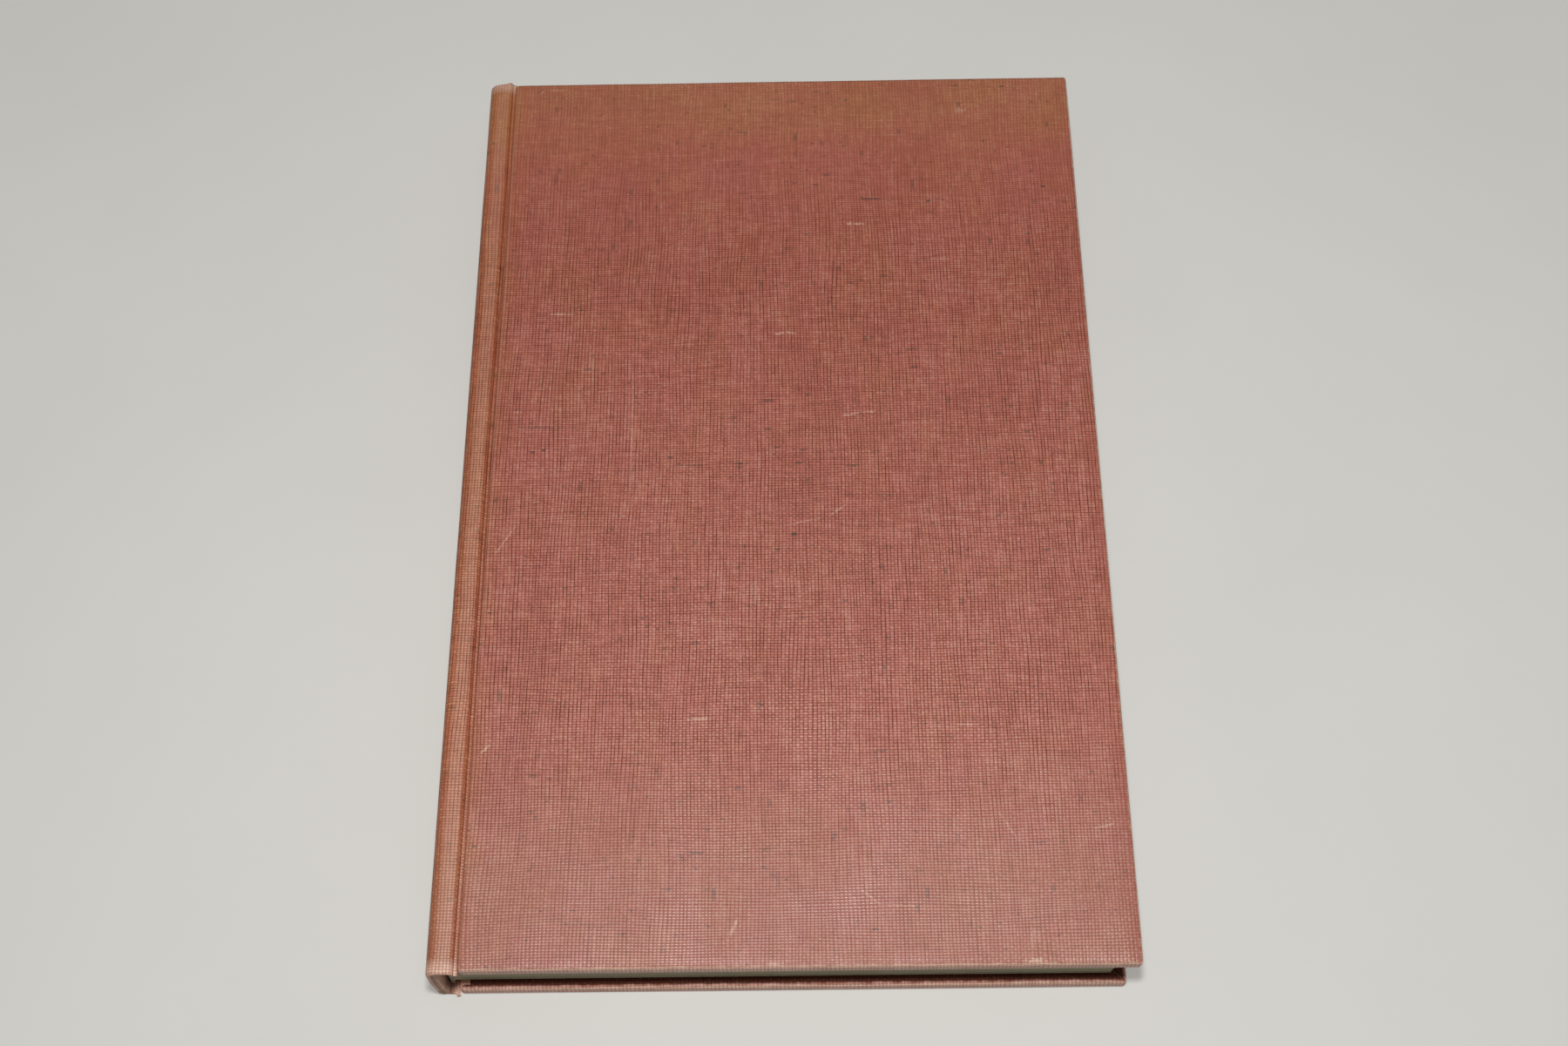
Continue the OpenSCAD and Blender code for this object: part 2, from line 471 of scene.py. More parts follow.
def add(tree: Tree, kind: str, *feeds: object, **settings: object) -> Socket:
    """Adds a node with its settings and links.

    Args:
        tree: Node tree that gets the node.
        kind: Name of the node without Blender's prefix.
        feeds: What each open input takes in turn: a socket to link, a constant, or None to leave it.
        settings: Attributes of the node.

    Returns:
        The first open output of the node, if it has one.
    """
    node = tree.nodes.new(f"ShaderNode{kind}")
    for name, value in settings.items():
        setattr(node, name, value)
    for socket, feed in zip((s for s in node.inputs if s.enabled), feeds):
        if isinstance(feed, Socket):
            tree.links.new(feed, socket)
        elif feed is not None:
            socket.default_value = feed
    return next((s for s in node.outputs if s.enabled), None)


def seen_rays(tree: Tree) -> Socket:
    """Tells the rays by which the eye sees a surface from those that only light others.

    Args:
        tree: Node tree that gets the nodes.

    Returns:
        1 for rays that come straight, from a gloss or through glass, and otherwise 0.
    """
    rays = add(tree, "LightPath").node.outputs
    shown = add(tree, "Math", rays["Is Camera Ray"], rays["Is Glossy Ray"], operation="MAXIMUM")
    return add(tree, "Math", shown, rays["Is Transmission Ray"], operation="MAXIMUM")


@dataclass(frozen=True)
class Finish:
    """A finish of one of the book's pieces, drawn in nodes."""

    name: str

    def material(self) -> bpy.types.Material:
        """Returns the material of this finish, made on its first use."""
        made = bpy.data.materials.get(self.name)
        if made is None:
            made = bpy.data.materials.new(self.name)
            made.use_nodes = True
            made.node_tree.nodes.clear()
            self.draw(made.node_tree)
        return made

    def draw(self, tree: Tree) -> None:
        """Draws the finish into an empty node tree."""
        raise NotImplementedError

    def dress(self, piece: Piece) -> Piece:
        """Gives a piece this finish and nothing else."""
        piece.data.materials.clear()
        piece.data.materials.append(self.material())
        return piece

    @staticmethod
    def on_piece(tree: Tree, unit: float = 1.0) -> Socket:
        """Returns the place on a piece, counted in steps of so many millimetres."""
        place = add(tree, "TexCoord").node.outputs["Object"]
        return add(tree, "VectorMath", place, (1 / (MM * unit),) * 3, operation="MULTIPLY")

    @staticmethod
    def close(tree: Tree, colour: Socket, roughness: object, height: Socket, relief: float,
              strength: float = 1.0, gloss: object = 0.5) -> Socket:
        """Ends a node tree in its shader.

        Args:
            tree: Node tree to close.
            colour: Colour of the surface.
            roughness: A constant or a socket.
            height: Height of the surface from 0 to 1.
            relief: Depth in millimetres that the height stands for.
            strength: Strength of the bump.
            gloss: Specular level, a constant or a socket, 0.5 for a plain surface.

        Returns:
            The shader.
        """
        bump = add(tree, "Bump", strength, relief * MM, None, height)
        shader = add(tree, "BsdfPrincipled", colour, 0.0, roughness, PLAIN_IOR, 1.0, bump)
        level = shader.node.inputs["Specular IOR Level"]
        if isinstance(gloss, Socket):
            tree.links.new(gloss, level)
        else:
            level.default_value = gloss
        add(tree, "OutputMaterial", shader)
        return shader


@dataclass(frozen=True)
class Mark:
    """A scratch, speck or slub on the front cover, as a thin ellipse on the flat sheet of cloth."""

    start: Pair
    end: Pair
    width: float
    strength: float


# Pale scratches and scuffs, where the dyed face of the threads is scraped off
SCRATCHES = (
    Mark((-50.4, 40.3), (-44.3, 40.2), 0.7, 0.8),
    Mark((15.4, 63.0), (19.6, 62.9), 0.6, 0.8),
    Mark((15.4, 63.0), (16.2, 63.0), 0.9, 1.0),
    Mark((32.2, 53.4), (37.5, 53.3), 0.6, 0.55),
    Mark((-1.1, 34.3), (1.6, 34.8), 0.65, 0.75),
    Mark((1.2, 34.8), (3.9, 34.6), 0.65, 0.75),
    Mark((13.0, 13.9), (17.4, 14.7), 0.65, 0.6),
    Mark((17.0, 14.7), (21.5, 14.9), 0.65, 0.6),
    Mark((-58.7, -18.9), (-53.2, -10.0), 0.5, 0.6),
    Mark((-54.4, 100.6), (-53.2, 101.6), 0.6, 0.5),
    Mark((-53.2, 101.6), (-47.8, 101.5), 0.6, 0.5),
    Mark((-1.0, -12.4), (10.0, -9.9), 0.5, 0.4),
    Mark((9.8, -10.0), (13.9, -7.0), 0.55, 0.6),
    Mark((-4.9, -24.6), (-4.9, -29.2), 2.2, 0.3),
    Mark((-18.8, -54.3), (-13.4, -54.1), 0.75, 0.8),
    Mark((33.0, -56.0), (39.0, -56.1), 0.6, 0.6),
    Mark((-58.6, -61.3), (-55.9, -58.5), 0.7, 0.7),
    Mark((-9.7, -97.4), (-8.5, -94.4), 0.9, 0.75),
    Mark((58.8, -77.6), (63.2, -76.5), 0.65, 0.65),
    Mark((41.3, -74.1), (44.7, -80.0), 0.7, 0.4),
    Mark((14.4, -88.6), (18.2, -91.9), 0.8, 0.35),
    Mark((17.6, -91.8), (26.2, -92.4), 0.8, 0.35),
    Mark((-30.9, 29.7), (-30.6, -14.0), 0.6, 0.35),
    Mark((40.4, 93.6), (42.3, 94.2), 1.9, 0.4),
    Mark((44.9, -102.9), (47.6, -102.8), 1.6, 0.9),
    Mark((46.0, -102.0), (46.2, -96.0), 1.3, 0.35),
    Mark((-2.6, -103.0), (-0.4, -103.0), 1.3, 0.8),
)

# Dark slubs and specks, where a thick thread or a husk lies in the weave
SPECKS = (
    Mark((-57.8, 12.1), (-41.0, 11.8), 0.55, 0.5),
    Mark((-52.2, 6.1), (-51.2, 6.1), 0.8, 0.85),
    Mark((-49.7, 6.5), (-48.7, 6.5), 0.7, 0.75),
    Mark((-23.3, 4.4), (-22.3, 4.4), 0.9, 0.85),
    Mark((-55.5, 16.5), (-54.5, 16.5), 0.7, 0.75),
    Mark((2.4, -14.0), (3.4, -13.8), 0.9, 0.8),
    Mark((-22.0, 2.5), (-14.1, 2.4), 0.5, 0.45),
    Mark((-9.9, 2.8), (-6.7, 2.6), 0.7, 0.8),
    Mark((3.3, 2.7), (4.5, 2.7), 0.7, 0.75),
    Mark((-3.0, 10.9), (-1.8, 10.9), 0.7, 0.75),
    Mark((4.4, 5.8), (5.2, 5.8), 0.7, 0.75),
    Mark((-7.2, -17.3), (-7.2, -16.1), 0.6, 0.7),
    Mark((-2.2, -22.4), (-1.4, -22.4), 0.7, 0.7),
    Mark((-0.9, -17.5), (-0.1, -17.3), 0.8, 0.7),
    Mark((19.9, -21.5), (20.7, -21.5), 0.7, 0.7),
    Mark((-8.6, -21.8), (-8.2, -20.6), 0.8, 0.6),
    Mark((32.9, 68.8), (33.9, 68.8), 0.7, 0.75),
    Mark((58.4, 72.3), (59.4, 72.3), 0.7, 0.75),
    Mark((54.3, 59.7), (55.3, 59.7), 0.7, 0.75),
    Mark((15.1, 97.4), (16.1, 97.4), 0.7, 0.65),
    Mark((16.7, -96.5), (17.7, -96.5), 0.8, 0.75),
    Mark((-40.0, -94.2), (-34.5, -95.6), 0.8, 0.2),
    Mark((-34.5, -95.6), (-29.2, -94.5), 0.8, 0.2),
)


@dataclass(frozen=True)
class Drift:
    """A soft random variation over the cloth, with its widths counted in millimetres or in threads."""

    across: float
    along: float
    seed: float
    low: float
    high: float
    detail: float = 1.0
    start: float = 0.25
    end: float = 0.75

    def draw(self, tree: Tree, place: Socket) -> Socket:
        """Draws the variation.

        Args:
            tree: Node tree of the cloth.
            place: Place on the cloth, in millimetres or in threads.

        Returns:
            A value that runs between low and high.
        """
        counted = add(tree, "VectorMath", place, (1 / self.across, 1 / self.along, 0.0),
                      (0.0, 0.0, self.seed), operation="MULTIPLY_ADD")
        clouds = add(tree, "TexNoise", counted, 1.0, self.detail, 0.5)
        return add(tree, "MapRange", clouds, self.start, self.end, self.low, self.high, **SOFT)


@dataclass(frozen=True)
class Band:
    """A strip of the cloth that comes in between two distances and fades out between two more."""

    start: float
    full: float
    fade: float
    end: float
    strength: float = 1.0
    low: float = 0.0

    def draw(self, tree: Tree, distance: Socket) -> Socket:
        """Draws the strip.

        Args:
            tree: Node tree of the cloth.
            distance: Distance in millimetres across the strip.

        Returns:
            How strongly the strip shows.
        """
        rise = add(tree, "MapRange", distance, self.start, self.full, self.low, 1.0, **SOFT)
        fall = add(tree, "MapRange", distance, self.fade, self.end, self.strength, 0.0, **SOFT)
        return add(tree, "Math", rise, fall, operation="MULTIPLY")


class Sheet(NamedTuple):
    """Where a point lies on the flat sheet, in millimetres: its place, and its way from spine and edges."""

    flat: Socket
    across: Socket
    along: Socket
    from_spine: Socket
    from_middle: Socket
    past_end: Socket
    past_edge: Socket


class Weave(NamedTuple):
    """What the weave gives at each point: its threads, their height, and how open and clear its gaps are."""

    warp: Socket
    weft: Socket
    height: Socket
    over: Socket
    crossing: Socket
    gap: Socket
    clear: Socket


@dataclass(frozen=True)
class BookCloth(Finish):
    """Starch-filled plain-weave linen, dyed salmon red: a grid of dark gaps under paler thread crowns.

    It is rubbed pale along its edges, browned at the head and along the spine, and a little glossy where
    the filling still lies on the threads. Its colour also holds painted light: sheen on the crowns and
    towards the tail, and shade towards the head, on the back of the spine, along the groove, in the
    folded ends, on the turn-ins and in the low gaps of the edges.
    """

    name: str = "starched_linen_bookcloth"
    warp_pitch: float = 0.71
    weft_pitch: float = 0.565
    gap: str = "#583428"
    deep: str = "#8c4535"
    thread: str = "#aa5947"
    # Light end of the threads' tone, whitened: partly paler thread, partly painted sheen
    pale_and_sheen: str = "#bf8070"
    slub: str = "#402d23"
    rubbed: str = "#d2ab96"
    tan_dye: Triple = (0.99, 1.05, 0.90)
    pink_dye: Triple = (1.01, 0.96, 1.06)
    # Tint towards the head: partly fuller dye, partly painted shade
    fuller_dye_and_shade: Triple = (0.96, 0.9, 0.83)
    # Tint towards the tail: partly wear, partly painted sheen
    wear_and_sheen: Triple = (0.88, 0.99, 0.96)
    faded: Triple = (1.03, 1.26, 0.97)
    browned: Triple = (1.05, 1.11, 0.73)
    # Tint of the painted shade on the back of the spine
    spine_back_shade: Triple = (0.86, 0.86, 0.78)
    # Tint of the painted shade along the floor of the groove
    dusty_and_shaded: Triple = (0.96, 0.93, 0.88)
    # Tint of the painted shade in the spine's folded ends and on the turn-ins
    shade_tint: Triple = (0.28, 0.26, 0.25)
    hole_edge: Pair = (0.2, 0.45)
    hole_open: Ramp = (0.55, 0.95, 0.0, 0.95)
    gap_edge: Pair = (0.27, 0.47)
    gaps_clear: Ramp = (45.0, 92.0, 1.0, 0.45)
    crossing_tone: Ramp = (0.0, 1.0, -0.12, 0.12)
    # How much lighter the thread tops are: a painted sheen on the crowns
    crown_sheen_tone: Ramp = (0.35, 0.95, -0.08, 0.12)
    tone_kept: Ramp = (0.45, 1.0, 0.65, 1.0)
    # Strength of the chequer, strongest at the tail as a painted highlight
    chequer_highlight_at: Ramp = (-88.0, -50.0, 0.17, 0.04)
    fuller_dye_and_shade_at: Ramp = (-30.0, 80.0, 0.0, 1.0)
    wear_and_sheen_at: Ramp = (-92.0, -50.0, 1.0, 0.0)
    head_tan: Ramp = (85.0, 101.0, 0.0, 1.0)
    head_uneven: float = 12.0
    spine_tan: Ramp = (12.5, 21.0, 1.0, 0.0)
    spine_uneven: float = 4.0
    spine_back_shade_at: Ramp = (6.0, 9.0, 1.0, 0.0)
    # Where the painted shade lies: in the folded ends of the spine and on the turn-ins
    fold_shade: Ramp = (0.1, 0.9, 0.0, 1.0)
    fold_width: Ramp = (13.0, 14.0, 1.0, 0.0)
    turn_in_shade: Ramp = (3.8, 4.3, 0.0, 0.97)
    # Where the floor of the groove is darkened as painted shade
    groove_shade: Band = Band(12.2, 12.9, 13.7, 14.2)
    edge_rub: Band = Band(0.6, 1.3, 1.35, 1.85, low=0.45)
    crest_rub: Band = Band(8.6, 9.8, 11.2, 12.2, 0.2)
    joint_rub: Band = Band(13.9, 14.5, 14.9, 15.6, 0.15)
    cap_rub: Ramp = (-2.2, 0.4, 0.0, 0.9)
    cap_width: Ramp = (12.0, 15.0, 1.0, 0.0)
    cap_end: Ramp = (0.9, 2.0, 1.0, 0.0)
    mark_edge: Pair = (0.3, 1.0)
    scratched: float = 0.75
    crowns: Ramp = (0.1, 0.5, 0.15, 1.0)
    hollows: Ramp = (0.05, 0.4, 1.0, 0.0)
    # Where the low gaps are darkened as painted shade, past the start of an edge's round
    edge_gap_shade: Ramp = (0.8, 2.0, 0.0, 0.85)
    gap_rough: float = 0.35
    matt: Ramp = (0.0, 0.8, 1.0, 0.05)

    def draw(self, tree: Tree) -> None:
        """Draws the weave, its thread-by-thread colour, its fading and its marks."""
        sheet = self._sheet(tree)
        weave = self._weave(tree, sheet)
        painted_shade = self._paint_shade(tree, sheet)
        colour = self._age(tree, sheet, self._dye(tree, sheet, weave))
        # Painted shade: the folded ends of the spine and the turn-ins by the pages are darkened
        colour = add(tree, "Mix", painted_shade, colour, (*self.shade_tint, 1.0), **TINT)
        colour = self._wear(tree, sheet, weave, colour)
        # The filling shines on the threads and not down in the gaps
        shine = Drift(12, 12, 17.9, 0.43, 0.53, detail=2.0, start=0.3, end=0.7).draw(tree, sheet.flat)
        roughness = add(tree, "Math", weave.gap, self.gap_rough, shine, operation="MULTIPLY_ADD")
        dull = add(tree, "Math", painted_shade, weave.gap, operation="MAXIMUM")
        gloss = add(tree, "MapRange", dull, *self.matt)
        self.close(tree, colour, roughness, weave.height, relief=0.1, strength=0.6, gloss=gloss)

    @staticmethod
    def _sheet(tree: Tree) -> Sheet:
        """Measures the flat sheet.

        Args:
            tree: Node tree of the cloth.

        Returns:
            The sockets of the sheet. Those past an end or an edge count from the start of its round.
        """
        threads = add(tree, "UVMap", uv_map=THREADS)
        flat = add(tree, "VectorMath", threads, (1 / MM,) * 3, operation="MULTIPLY")
        across, along, _ = add(tree, "SeparateXYZ", flat).node.outputs
        from_spine = add(tree, "Math", across, UNFOLD.middle, operation="SUBTRACT")
        from_spine = add(tree, "Math", from_spine, operation="ABSOLUTE")
        from_middle = add(tree, "Math", along, operation="ABSOLUTE")
        past_end = add(tree, "Math", from_middle, BOOK.cover_y - BOOK.edge_r, operation="SUBTRACT")
        fore_edge = BOOK.fore_x - BOOK.edge_r - UNFOLD.middle
        past_fore = add(tree, "Math", from_spine, fore_edge, operation="SUBTRACT")
        past_edge = add(tree, "Math", past_end, past_fore, operation="MAXIMUM")
        # An edge's rub starts here on the face and there only on the round
        uneven = Drift(1.6, 1.6, 27.7, -0.12, 0.12, detail=3.0).draw(tree, flat)
        past_edge = add(tree, "Math", past_edge, uneven, operation="ADD")
        return Sheet(flat, across, along, from_spine, from_middle, past_end, past_edge)

    def _weave(self, tree: Tree, sheet: Sheet) -> Weave:
        """Draws the crossed threads.

        Args:
            tree: Node tree of the cloth.
            sheet: The flat sheet.

        Returns:
            The sockets of the weave.
        """
        # Each thread wavers sideways by up to 0.4 mm over a few centimetres
        waver = (Drift(10, 34, 1.7, -0.4, 0.4), Drift(34, 10, 5.3, -0.35, 0.35))
        # Every gap is open in some stretches and shut in others
        opening = (Drift(0.23, 5, 3.3, 0.3, 0.92), Drift(5, 0.23, 8.8, 0.2, 0.76))
        number, beside, edge, arc = [], [], [], []
        for axis, pitch in enumerate((self.warp_pitch, self.weft_pitch)):
            wavered = waver[axis].draw(tree, sheet.flat)
            place = add(tree, "Math", (sheet.across, sheet.along)[axis], wavered, operation="ADD")
            count = add(tree, "Math", place, pitch, operation="DIVIDE")
            number.append(add(tree, "Math", count, operation="ROUND"))
            beside.append(add(tree, "Math", count, operation="FLOOR"))
            edge.append(add(tree, "Math", count, 0.5, operation="PINGPONG"))
            turn = add(tree, "Math", edge[axis], math.pi, operation="MULTIPLY")
            arc.append(add(tree, "Math", turn, operation="COSINE"))
        warp = add(tree, "CombineXYZ", number[0], sheet.along, 0.0)
        weft = add(tree, "CombineXYZ", sheet.across, number[1], 0.0)
        # At every second crossing the warp lies over the weft
        turns = add(tree, "Math", number[0], number[1], operation="ADD")
        turns = add(tree, "Math", turns, 1.0, operation="PINGPONG")
        over = add(tree, "Math", 0.5, turns, operation="SUBTRACT")
        under = add(tree, "Math", turns, 0.5, operation="SUBTRACT")
        lift = [add(tree, "Math", bend, arc[1 - axis], 0.5, operation="MULTIPLY_ADD")
                for axis, bend in enumerate((over, under))]
        warp_up, weft_up = (add(tree, "Math", arc[axis], lift[axis], operation="MULTIPLY") for axis in (0, 1))
        height = add(tree, "Math", warp_up, weft_up, operation="MAXIMUM")

        # Some of the holes between four threads are open and dark
        corner = add(tree, "CombineXYZ", beside[0], beside[1], 0.0)
        holes = add(tree, "TexWhiteNoise", corner, noise_dimensions="2D")
        gap = add(tree, "MapRange", holes, *self.hole_open, **SOFT)
        for axis in (0, 1):
            near = add(tree, "MapRange", edge[axis], *self.hole_edge, **SOFT)
            gap = add(tree, "Math", gap, near, operation="MULTIPLY")
        places = (add(tree, "CombineXYZ", beside[0], sheet.along, 0.0),
                  add(tree, "CombineXYZ", sheet.across, beside[1], 0.0))
        for axis in (0, 1):
            line = add(tree, "MapRange", edge[axis], *self.gap_edge, **SOFT)
            line = add(tree, "Math", line, opening[axis].draw(tree, places[axis]), operation="MULTIPLY")
            gap = add(tree, "Math", gap, line, operation="MAXIMUM")
        crossing = add(tree, "CombineXYZ", number[0], number[1], 0.0)
        crossing = add(tree, "TexWhiteNoise", crossing, noise_dimensions="2D")
        # Towards the head and the tail the cloth is handled smooth, and its gaps are filled
        clear = add(tree, "MapRange", sheet.from_middle, *self.gaps_clear, **SOFT)
        gap = add(tree, "Math", gap, clear, operation="MULTIPLY")
        return Weave(warp, weft, height, over, crossing, gap, clear)

    def _dye(self, tree: Tree, sheet: Sheet, weave: Weave) -> Socket:
        """Colours each thread with its own tone and hue, lightens the crowns with a painted sheen and a painted
        chequer highlight, and darkens gaps and slubs.

        Args:
            tree: Node tree of the cloth.
            sheet: The flat sheet.
            weave: The weave to colour.

        Returns:
            The colour.
        """
        flat = sheet.flat
        tone: object = 0.5
        for part in (
            Drift(0.19, 6, 2.9, -0.13, 0.13).draw(tree, weave.warp),
            Drift(6, 0.19, 7.1, -0.12, 0.12).draw(tree, weave.weft),
            Drift(1.6, 55, 4.4, -0.05, 0.05).draw(tree, flat),
            Drift(22, 30, 6.6, -0.06, 0.06, detail=2.0).draw(tree, flat),
            Drift(0.35, 0.35, 26.3, -0.1, 0.1).draw(tree, flat),
            add(tree, "MapRange", weave.crossing, *self.crossing_tone),
            # The thread tops are lighter: a painted sheen on the crowns
            add(tree, "MapRange", weave.height, *self.crown_sheen_tone),
        ):
            tone = add(tree, "Math", tone, part, operation="ADD")
        tone = add(tree, "Mix", add(tree, "MapRange", weave.clear, *self.tone_kept), 0.5, tone)
        # The crossings show as a soft chequer; towards the tail, where the gaps are filled, it is stronger, a
        # painted highlight on the crossings
        chequer_highlight = add(tree, "MapRange", sheet.along, *self.chequer_highlight_at, **SOFT)
        tone = add(tree, "Math", weave.over, chequer_highlight, tone, operation="MULTIPLY_ADD")
        dark, light = (add(tree, "MapRange", tone, start, start + 0.5) for start in (0.0, 0.5))
        colour = add(tree, "Mix", dark, linear(self.deep), linear(self.thread), **BLEND)
        colour = add(tree, "Mix", light, colour, linear(self.pale_and_sheen), **BLEND)
        # The dye took unevenly: some threads and patches lean to tan, others to pink
        threads = Drift(0.3, 26, 21.7, 0.0, 0.5).draw(tree, weave.warp)
        patches = Drift(12, 14, 23.1, 0.0, 0.5, detail=3.0, start=0.35, end=0.65).draw(tree, flat)
        hue = add(tree, "Math", threads, patches, operation="ADD")
        dye = add(tree, "Mix", hue, (*self.tan_dye, 1.0), (*self.pink_dye, 1.0), **BLEND)
        colour = add(tree, "Mix", 1.0, colour, dye, **TINT)
        colour = add(tree, "Mix", weave.gap, colour, linear(self.gap), **BLEND)
        slub = self._marks(tree, flat, SPECKS)
        for part in (
            # Short dark slubs lie along single threads, more of them in the weft
            Drift(2.4, 0.14, 9.7, 0.0, 0.55, detail=0.0, start=0.74, end=0.9).draw(tree, weave.weft),
            Drift(0.16, 3.5, 11.3, 0.0, 0.5, detail=0.0, start=0.74, end=0.9).draw(tree, weave.warp),
            # Brown husks of the flax are caught between the threads here and there
            Drift(1.2, 0.8, 31.1, 0.0, 0.6, detail=0.0, start=0.76, end=0.86).draw(tree, flat),
        ):
            slub = add(tree, "Math", slub, part, operation="MAXIMUM")
        return add(tree, "Mix", slub, colour, linear(self.slub), **BLEND)

    def _age(self, tree: Tree, sheet: Sheet, colour: Socket) -> Socket:
        """Fades the head and the spine to tan, as they stood in the light on a shelf. Also paints shade on the
        back of the spine and towards the head, and sheen towards the tail.

        Args:
            tree: Node tree of the cloth.
            sheet: The flat sheet.
            colour: Colour of the dyed threads.

        Returns:
            The colour.
        """
        lean = Drift(14, 9, 12.5, 0.0, 1.0, detail=2.0, start=0.0, end=1.0).draw(tree, sheet.flat)
        head = add(tree, "Math", lean, self.head_uneven, sheet.along, operation="MULTIPLY_ADD")
        spine = add(tree, "Math", lean, self.spine_uneven, sheet.from_spine, operation="MULTIPLY_ADD")
        for place, ramp, tint in (
            # Darker and redder towards the head: partly the dye is fullest there, where hands and dust reach
            # the cover least, and partly painted shade away from the light
            (sheet.along, self.fuller_dye_and_shade_at, self.fuller_dye_and_shade),
            # Paler and less red towards the tail: partly dulled by hands, partly a painted sheen
            (sheet.along, self.wear_and_sheen_at, self.wear_and_sheen),
            (head, self.head_tan, self.faded),
            (spine, self.spine_tan, self.browned),
            # The back of the spine is darkened towards brown: a painted shade on its rounded side
            (sheet.from_spine, self.spine_back_shade_at, self.spine_back_shade),
        ):
            share = add(tree, "MapRange", place, *ramp, **SOFT)
            colour = add(tree, "Mix", share, colour, (*tint, 1.0), **TINT)
        return colour

    def _paint_shade(self, tree: Tree, sheet: Sheet) -> Socket:
        """Draws painted shade, dark and matt, in the folded ends of the spine and on the turn-ins, where they
        meet the pages.

        Args:
            tree: Node tree of the cloth.
            sheet: The flat sheet.

        Returns:
            How much painted shade lies at each place, from 0 to 1.
        """
        past_spine = add(tree, "Math", sheet.from_middle, BOOK.spine_y, operation="SUBTRACT")
        folds = add(tree, "Math", add(tree, "MapRange", past_spine, *self.fold_shade, **SOFT),
                    add(tree, "MapRange", sheet.from_spine, *self.fold_width), operation="MULTIPLY")
        turned = add(tree, "MapRange", sheet.past_edge, *self.turn_in_shade, **SOFT)
        return add(tree, "Math", folds, turned, operation="MAXIMUM")

    def _wear(self, tree: Tree, sheet: Sheet, weave: Weave, colour: Socket) -> Socket:
        """Rubs edges, corners and the crests of the spine down to pale thread, and adds the scratches. Paints
        shade along the floor of the groove and in the low gaps of the edges.

        Args:
            tree: Node tree of the cloth.
            sheet: The flat sheet.
            weave: The weave.
            colour: Colour of the aged cloth.

        Returns:
            The colour.
        """
        # Painted shade: the floor of the groove is darkened a little
        dust_and_shade = self.groove_shade.draw(tree, sheet.from_spine)
        colour = add(tree, "Mix", dust_and_shade, colour, (*self.dusty_and_shaded, 1.0), **TINT)
        # The two rounds of an edge are rubbed, and the flat between them less
        middle = BOOK.edge_r * math.pi / 2 + BOOK.cover_t / 2 - BOOK.edge_r
        fold = add(tree, "Math", sheet.past_edge, middle, operation="SUBTRACT")
        rub = self.edge_rub.draw(tree, add(tree, "Math", fold, operation="ABSOLUTE"))
        # The two ends of the spine are rubbed furthest, by fingers that pull the book from a shelf
        cap = add(tree, "Math", add(tree, "MapRange", sheet.past_end, *self.cap_rub, **SOFT),
                  add(tree, "MapRange", sheet.from_spine, *self.cap_width, **SOFT), operation="MULTIPLY")
        cap = add(tree, "Math", cap, add(tree, "MapRange", sheet.past_end, *self.cap_end), operation="MULTIPLY")
        crest, joint = (band.draw(tree, sheet.from_spine) for band in (self.crest_rub, self.joint_rub))
        for part in (crest, cap, joint):
            rub = add(tree, "Math", rub, part, operation="MAXIMUM")
        worn = Drift(2.2, 2.2, 15.1, 0.65, 1.0, detail=3.0, start=0.3, end=0.62).draw(tree, sheet.flat)
        rub = add(tree, "Math", rub, worn, operation="MULTIPLY")
        scratch = self._marks(tree, sheet.flat, SCRATCHES)
        scratch = add(tree, "Math", scratch, self.scratched, operation="MULTIPLY")
        scuff = add(tree, "Math", rub, scratch, operation="MAXIMUM")
        crowns = add(tree, "MapRange", weave.height, *self.crowns, **SOFT)
        scuff = add(tree, "Math", scuff, crowns, operation="MULTIPLY")
        # On a bent edge the threads spread and the gaps between them open; from the edge's round on, these low
        # gaps are darkened nearly black, a painted shade
        edge_gap_shade = add(tree, "MapRange", sheet.past_edge, *self.edge_gap_shade)
        hollows = add(tree, "MapRange", weave.height, *self.hollows)
        gap_shade = add(tree, "Math", edge_gap_shade, hollows, operation="MULTIPLY")
        colour = add(tree, "Mix", gap_shade, colour, linear(self.slub), **BLEND)
        return add(tree, "Mix", scuff, colour, linear(self.rubbed), **BLEND)

    def _marks(self, tree: Tree, flat: Socket, marks: tuple[Mark, ...]) -> Socket:
        """Draws a set of marks on the flat sheet.

        Args:
            tree: Node tree of the cloth.
            flat: Place on the flat sheet in millimetres.
            marks: The marks to draw.

        Returns:
            How strongly a mark shows at each place, from 0 to 1.
        """
        # The edge of a mark is ragged, because it breaks off at single threads
        ragged = Drift(0.8, 0.8, 29.9, -0.35, 0.35, detail=2.0).draw(tree, flat)
        total: object = 0.0
        for mark in marks:
            run = Vector(mark.end) - Vector(mark.start)
            middle = (Vector(mark.end) + Vector(mark.start)) / 2
            near = add(tree, "Mapping", flat, (*middle, 0.0), (0.0, 0.0, math.atan2(run.y, run.x)),
                       (run.length / 2 + mark.width / 2, mark.width / 2, 1.0), vector_type="TEXTURE")
            reach = add(tree, "VectorMath", near, operation="LENGTH")
            reach = add(tree, "Math", reach, ragged, operation="ADD")
            shown = add(tree, "MapRange", reach, *self.mark_edge, mark.strength, 0.0, **SOFT)
            total = add(tree, "Math", total, shown, operation="MAXIMUM")
        return total


